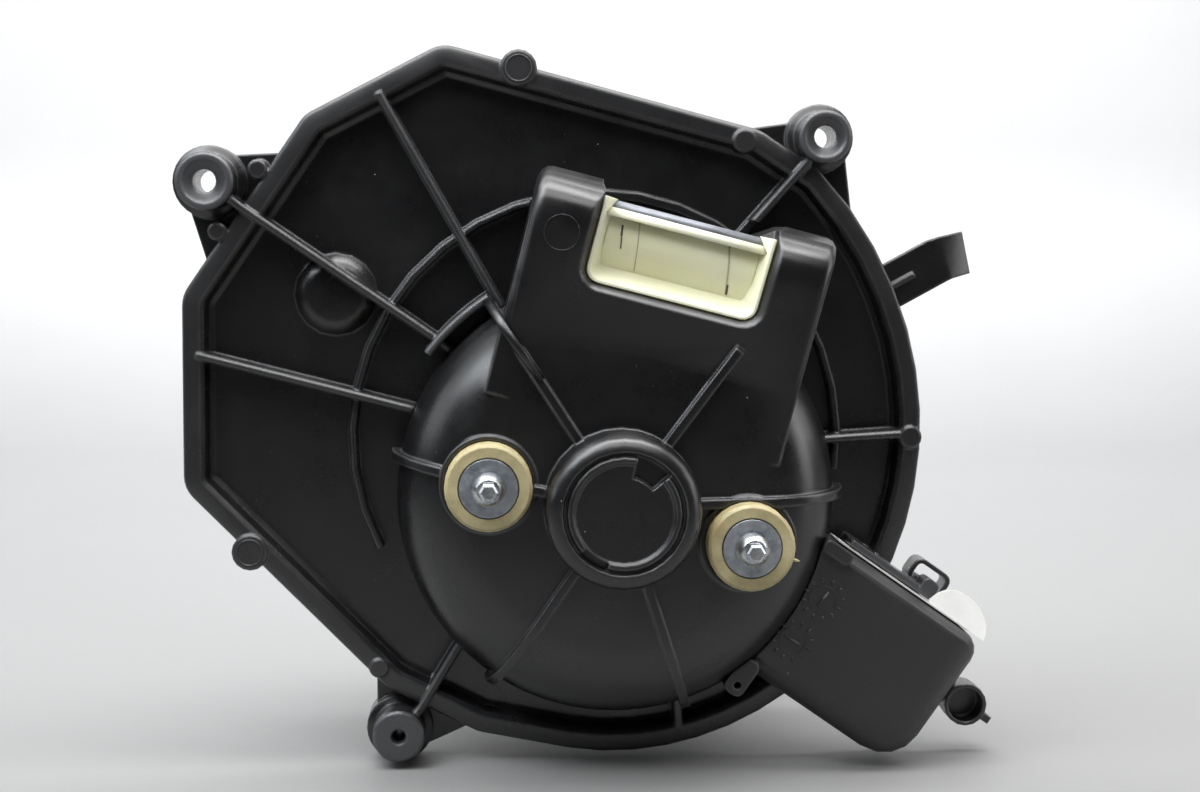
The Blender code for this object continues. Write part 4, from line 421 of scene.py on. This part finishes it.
def liner_plastic():
    """Cream natural plastic that lets a little light in, with a few dark scuffs."""
    surface = Surface("cream_plastic")
    soft = surface.rounded_edges(SOFT_ROUND)
    colour = surface.mix(surface.clouds(45.0), *CREAM_TONES)
    scuffs = surface.remap(surface.noise(210.0, 6.0, 0.7, (1.0, 1.0, 0.25)), 0.66, 0.74)
    colour = surface.mix(surface.times(scuffs, 0.6), colour, CREAM_STAIN)
    shine = surface.clouds(80.0, result=(0.32, 0.46))
    normal = surface.bump(surface.noise(700.0), 0.25, 0.05 * MM, soft)
    return surface.finish(colour, shine, normal, Subsurface_Weight=0.4,
                          Subsurface_Radius=CREAM_GLOW, Subsurface_Scale=5 * MM)


def bush_rubber():
    """Tan rubber, mottled and a little chalky."""
    surface = Surface("tan_rubber")
    soft = surface.rounded_edges(SOFT_ROUND)
    colour = surface.mix(surface.clouds(170.0, 5.0, 0.65, span=(0.3, 0.72)), *RUBBER_TONES)
    stains = surface.clouds(75.0, span=(0.56, 0.72))
    colour = surface.mix(surface.times(stains, 0.45), colour, RUBBER_STAIN)
    colour = surface.mix(surface.times(surface.edge_share(soft), 0.4), colour, RUBBER_CHALK)
    shine = surface.clouds(240.0, result=(0.42, 0.62))
    normal = surface.bump(surface.noise(900.0, 4.0, 0.6), 0.35, 0.08 * MM, soft)
    return surface.finish(colour, shine, normal, Subsurface_Weight=0.12,
                          Subsurface_Radius=RUBBER_GLOW, Subsurface_Scale=1.5 * MM)


def worn_metal(name, bright, dull, roughness, grain=600.0, depth=0.05 * MM):
    """Metal whose plating is mottled, with dull patches and a fine surface."""
    surface = Surface(name)
    soft = surface.rounded_edges(METAL_ROUND)
    patches = surface.clouds(grain * 0.45, 5.0, 0.65, span=(0.35, 0.68))
    shine = surface.clouds(grain * 0.7, 4.0, 0.6, result=(roughness - 0.08, roughness + 0.14))
    normal = surface.bump(surface.noise(grain, 4.0, 0.6), 0.5, depth, soft)
    return surface.finish(surface.mix(patches, bright, dull), shine, normal, Metallic=1.0)


def wound_copper():
    """Enamelled wire: fine turns across the slots."""
    surface = Surface("wound_copper")
    turns = surface.noise(1500.0, 2.0, 0.5, (0.3, 1.0, 0.3))
    colour = surface.mix(surface.clouds(220.0, 4.0), *WIRE_TONES)
    shine = surface.remap(turns, 0.3, 0.7, 0.25, 0.42)
    return surface.finish(colour, shine, surface.bump(turns, 0.7, 0.3 * MM), Metallic=0.9)


def dull_solid(name, dark, light, roughness, grain=900.0):
    """A surface with little shine, such as ferrite, carbon, paper or a scuff."""
    surface = Surface(name)
    colour = surface.mix(surface.clouds(grain * 0.2, 4.0, 0.6), dark, light)
    shine = surface.clouds(grain * 0.4, result=(roughness - 0.06, roughness + 0.08))
    normal = surface.bump(surface.noise(grain, 4.0, 0.6), 0.4, 0.06 * MM)
    return surface.finish(colour, shine, normal)


def stage_paint():
    """Pale matte paint, a little greyer on the floor in front of the object: a painted shade."""
    surface = Surface("stage_paint")
    place = surface.parts(surface.place)
    # darker towards the front: a painted shade
    away = surface.remap(place["Y"], *FLOOR_TONE_SPAN)
    tone = surface.mix(away, FLOOR_NEAR_TONE, FLOOR_FAR_TONE)
    upwards = surface.remap(place["Z"], *WALL_TONE_SPAN)
    tone = surface.mix(upwards, tone, WALL_TONE)
    soiled = surface.mix(SOILED_SHARE, tone, SOILED_TONE)
    return surface.finish(surface.mix(surface.clouds(9.0), soiled, tone), 0.6)


def make_finishes():
    """Every finish by name."""
    made = {name: worn_metal(name, *values) for name, values in METALS.items()}
    made |= {name: dull_solid(name, *values) for name, values in DULL_SOLIDS.items()}
    made["black_plastic"] = black_plastic("black_plastic", *MOULDED_BLACK)
    # the cover gets a painted sheen on its rim and lugs
    made["cover_plastic"] = black_plastic("cover_plastic", *MOULDED_BLACK, front_sheen=True)
    made["holder_plastic"] = black_plastic("holder_plastic", *MOULDED_BLACK, crown=True)
    made["matte_plastic"] = black_plastic("matte_plastic", *MATTE_BLACK)
    made["cream_plastic"] = liner_plastic()
    made["tan_rubber"] = bush_rubber()
    made["wound_copper"] = wound_copper()
    return made


# Smooth shading of the frame's own pieces

def smoothing_group():
    """Joins the loose facets of a piece and shades its round faces smooth."""
    group = bpy.data.node_groups.new("smooth_faces", "GeometryNodeTree")
    for direction in ("INPUT", "OUTPUT"):
        group.interface.new_socket("Geometry", in_out=direction, socket_type="NodeSocketGeometry")
    start = group.nodes.new("NodeGroupInput")
    end = group.nodes.new("NodeGroupOutput")
    weld = group.nodes.new("GeometryNodeMergeByDistance")
    weld.inputs["Distance"].default_value = 0.001 * MM
    faces = group.nodes.new("GeometryNodeSetShadeSmooth")
    edges = group.nodes.new("GeometryNodeSetShadeSmooth")
    edges.domain = "EDGE"
    edges.inputs["Shade Smooth"].default_value = False
    angle = group.nodes.new("GeometryNodeInputMeshEdgeAngle")
    sharper = group.nodes.new("FunctionNodeCompare")
    sharper.data_type = "FLOAT"
    sharper.operation = "GREATER_THAN"
    sharper.inputs["B"].default_value = SMOOTH_ANGLE
    link = group.links.new
    link(start.outputs["Geometry"], weld.inputs["Geometry"])
    link(weld.outputs["Geometry"], faces.inputs["Geometry"])
    link(faces.outputs["Geometry"], edges.inputs["Geometry"])
    link(angle.outputs["Unsigned Angle"], sharper.inputs["A"])
    link(sharper.outputs["Result"], edges.inputs["Selection"])
    link(edges.outputs["Geometry"], end.inputs["Geometry"])
    return group


def dress(group, finishes):
    """Every piece of the frame gets its finish and smooth shading."""
    by_node = {node: finishes[name] for name, nodes in NODES_BY_FINISH.items() for node in nodes}
    for name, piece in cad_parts.items():
        piece.data.materials.clear()
        piece.data.materials.append(by_node[name])
        for attribute in [a for a in piece.data.attributes if a.name == "custom_normal"]:
            piece.data.attributes.remove(attribute)
        modifier = piece.modifiers.new("Smooth", "NODES")
        modifier.node_group = group


# Small details of the moulded pieces

def new_object(name, bm, surface):
    """Links a smooth-shaded object made from bm, which is used up."""
    mesh = bpy.data.meshes.new(name)
    bm.to_mesh(mesh)
    bm.free()
    mesh.shade_smooth()
    mesh.materials.append(surface)
    made = bpy.data.objects.new(name, mesh)
    bpy.context.scene.collection.objects.link(made)
    return made


def detail(name, rings, surface, closed=False):
    """A small body through rings of points, open or a loop, which rides with the housing."""
    bm = bmesh.new()
    loops = [[bm.verts.new(AXIS + point * MM) for point in ring] for ring in rings]
    pairs = list(zip(loops, loops[1:]))
    if closed:
        pairs.append((loops[-1], loops[0]))
    else:
        bm.faces.new(loops[0])
        bm.faces.new(loops[-1])
    for first, second in pairs:
        for i in range(len(first)):
            j = (i + 1) % len(first)
            bm.faces.new((first[i], first[j], second[j], second[i]))
    bmesh.ops.recalc_face_normals(bm, faces=bm.faces)
    made = new_object(name, bm, surface)
    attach(made, "housing")


def raised_ring(name, centre, radius, wire, surface, turn=0.0, slope=0.0, steps=RING_STEPS):
    """A thin raised ring on a face that looks to the front and may slope outwards."""
    across = Vector((math.cos(turn), 0.0, math.sin(turn)))
    outwards = Vector((-math.sin(turn), -slope, math.cos(turn)))
    forwards = Vector((0.0, -1.0, 0.0))
    rings = []
    for i in range(steps):
        angle = 2 * math.pi * i / steps
        away = across * math.cos(angle) + outwards * math.sin(angle)
        ring = []
        for k in range(RING_SIDES):
            around = 2 * math.pi * k / RING_SIDES
            ring.append(Vector(centre) + away * (radius + wire * math.cos(around))
                        + forwards * wire * math.sin(around))
        rings.append(ring)
    detail(name, rings, surface, closed=True)


def raised_bar(name, start, end, width, height, surface):
    """A short raised bar between two points on a face that looks to the front."""
    start = Vector(start)
    end = Vector(end)
    along = (end - start).normalized()
    side = Vector((-along.z, 0.0, along.x)) * 0.5 * width
    sink = Vector((0.0, BAR_SINK, 0.0))
    rise = Vector((0.0, height, 0.0))
    rings = []
    for point in (start, end):
        rings.append([point + side + sink, point + BAR_TOP * side - rise,
                      point - BAR_TOP * side - rise, point - side + sink])
    detail(name, rings, surface)


def dial(name, centre, radius, heading, surface):
    """A plain setting dial: raised ticks round a thin circle and a pointer, with no figures."""
    x, y, z = centre
    raised_ring(f"{name}_circle", centre, DIAL_CIRCLE * radius, DIAL_WIRE, surface)
    near = DIAL_TICK_FROM * radius
    for i in range(DIAL_TICKS):
        angle = 2 * math.pi * i / DIAL_TICKS
        across, upwards = math.cos(angle), math.sin(angle)
        raised_bar(f"{name}_tick_{i + 1}", (x + near * across, y, z + near * upwards),
                   (x + radius * across, y, z + radius * upwards), *TICK_SIZE, surface)
    dx = DIAL_POINTER * radius * math.cos(heading)
    dz = DIAL_POINTER * radius * math.sin(heading)
    raised_bar(f"{name}_pointer", (x - dx, y, z - dz), (x + dx, y, z + dz), *POINTER_SIZE, surface)


def moulding_nub(name, centre, along, reach, surface):
    """A small leftover of moulding, drawn out along one direction."""
    along = Vector(along).normalized()
    side = along.cross(Vector((0.0, 0.0, 1.0))).normalized()
    up = side.cross(along)
    rings = []
    for share, width in NUB_SECTIONS:
        point = Vector(centre) + along * reach * share
        rings.append([point + (side * math.cos(a) * NUB_FLATNESS + up * math.sin(a)) * 0.5 * width
                      for a in NUB_ANGLES])
    detail(name, rings, surface)


def snout_point(u, v, y):
    """A point of the snout's turned frame, in mm from AXIS."""
    return Vector((u * math.cos(SNOUT_TURN) - v * math.sin(SNOUT_TURN), y,
                   u * math.sin(SNOUT_TURN) + v * math.cos(SNOUT_TURN)))


def snout_strip(name, span, section, surface):
    """A strip across the snout, such as the liner's upper edge or the bar's edge with a painted
    sheen.
    """
    detail(name, [[snout_point(u, v, y) for v, y in section] for u in span], surface)


def liner_line(name, start, end, width, surface):
    """A thin upright line on the liner's bulged back wall."""
    rings = []
    for i in range(LINE_STEPS + 1):
        share = i / LINE_STEPS
        u = start[0] + (end[0] - start[0]) * share
        v = start[1] + (end[1] - start[1]) * share
        turn = BULGE_START + BULGE_TURN * (v - LINER_LOW) / (LINER_HIGH - LINER_LOW)
        y = LINER_BACK - SNOUT_SLOPE * (v - LINER_LOW) - LINER_BULGE * math.sin(turn)
        left, right = u - 0.5 * width, u + 0.5 * width
        foot, top = y + LINE_SINK, y - LINE_HEIGHT
        rings.append([snout_point(left, v, foot), snout_point(left, v, top),
                      snout_point(right, v, top), snout_point(right, v, foot)])
    detail(name, rings, surface)


def upper_rib(surface):
    """The end of the holder's upper left rib, which stands free beside the snout."""
    rings = []
    for x, top, base, z in UPPER_RIB:
        shoulder = top + RIB_ROUND
        section = ((-RIB_FOOT, base), (-RIB_SHOULDER, shoulder), (-RIB_TOP, top),
                   (RIB_TOP, top), (RIB_SHOULDER, shoulder), (RIB_FOOT, base))
        rings.append([Vector((x, 0.0, z)) + across * RIB_ACROSS + Vector((0.0, y, 0.0))
                      for across, y in section])
    detail("upper_rib", rings, surface)


def add_details(finishes):
    """Marks and thin trim that the frame leaves out."""
    black = finishes["holder_plastic"]
    raised_ring("ejector_mark", *EJECTOR_MARK, black, SNOUT_TURN, SNOUT_SLOPE, EJECTOR_STEPS)
    for number, ring in enumerate(PAD_RINGS, 1):
        raised_ring(f"pad_ring_{number}", *ring, finishes["cover_plastic"])
    for number, setting in enumerate(DIALS, 1):
        dial(f"dial_{number}", *setting, finishes["matte_plastic"])
    moulding_nub("bush_nub", *BUSH_NUB, finishes["tan_rubber"])
    moulding_nub("seam_nub", *SEAM_NUB, black)
    snout_strip("liner_lip", LINER_LIP_SPAN, LINER_LIP, finishes["cream_plastic"])
    # the bar's upper edge: a strip with a painted highlight
    snout_strip("saddle_edge", SADDLE_SPAN, SADDLE_EDGE, finishes["painted_sheen"])
    for number, line in enumerate(LINER_LINES, 1):
        liner_line(f"liner_line_{number}", *line, finishes["liner_shade"])
    for number, line in enumerate(LINER_SCUFFS, 1):
        liner_line(f"liner_scuff_{number}", *line, finishes["liner_scuff"])
    upper_rib(black)


# Stage, light and camera

def sweep_stage(floor_z):
    """A pale floor that bends up into a wall."""
    profile = [(STAGE_NEAR, floor_z), (WALL_Y - WALL_BEND, floor_z)]
    for i in range(1, WALL_BEND_STEPS + 1):
        turn = 0.5 * math.pi * i / WALL_BEND_STEPS
        profile.append((WALL_Y - WALL_BEND + WALL_BEND * math.sin(turn),
                        floor_z + WALL_BEND * (1 - math.cos(turn))))
    profile.append((WALL_Y, floor_z + WALL_H))
    bm = bmesh.new()
    sides = (AXIS.x - 0.5 * STAGE_W, AXIS.x + 0.5 * STAGE_W)
    rows = [[bm.verts.new((x, AXIS.y + y, z)) for x in sides] for y, z in profile]
    for first, second in zip(rows, rows[1:]):
        bm.faces.new((first[0], first[1], second[1], second[0]))
    made = new_object("stage", bm, stage_paint())


def softbox(name, place, target, width, height, power, tint):
    light = bpy.data.lights.new(name, "AREA")
    light.shape = "RECTANGLE"
    light.size = width
    light.size_y = height
    light.energy = power
    light.color = tint
    made = bpy.data.objects.new(name, light)
    bpy.context.scene.collection.objects.link(made)
    made.location = AXIS + Vector(place)
    made.rotation_euler = (Vector(target) - Vector(place)).to_track_quat("-Z", "Y").to_euler()


def light_scene():
    world = bpy.data.worlds.new("studio")
    world.use_nodes = True
    background = world.node_tree.nodes["Background"]
    background.inputs["Color"].default_value = (*SKY_TINT, 1.0)
    background.inputs["Strength"].default_value = SKY_STRENGTH
    bpy.context.scene.world = world
    for light in LIGHTS:
        softbox(*light)


def place_camera():
    camera = bpy.data.cameras.new("camera")
    camera.lens = CAMERA_LENS
    camera.sensor_width = CAMERA_SENSOR
    camera.clip_start = CAMERA_NEAREST
    made = bpy.data.objects.new("camera", camera)
    bpy.context.scene.collection.objects.link(made)
    made.location = CAMERA_PLACE
    made.rotation_euler = (CAMERA_TILT, 0.0, CAMERA_TURN)
    bpy.context.scene.camera = made


FINISHES = make_finishes()
dress(smoothing_group(), FINISHES)
add_details(FINISHES)
sweep_stage(CAD_BOX[0].z - FLOOR_GAP)
light_scene()
place_camera()
bpy.context.scene.view_settings.view_transform = "Standard"
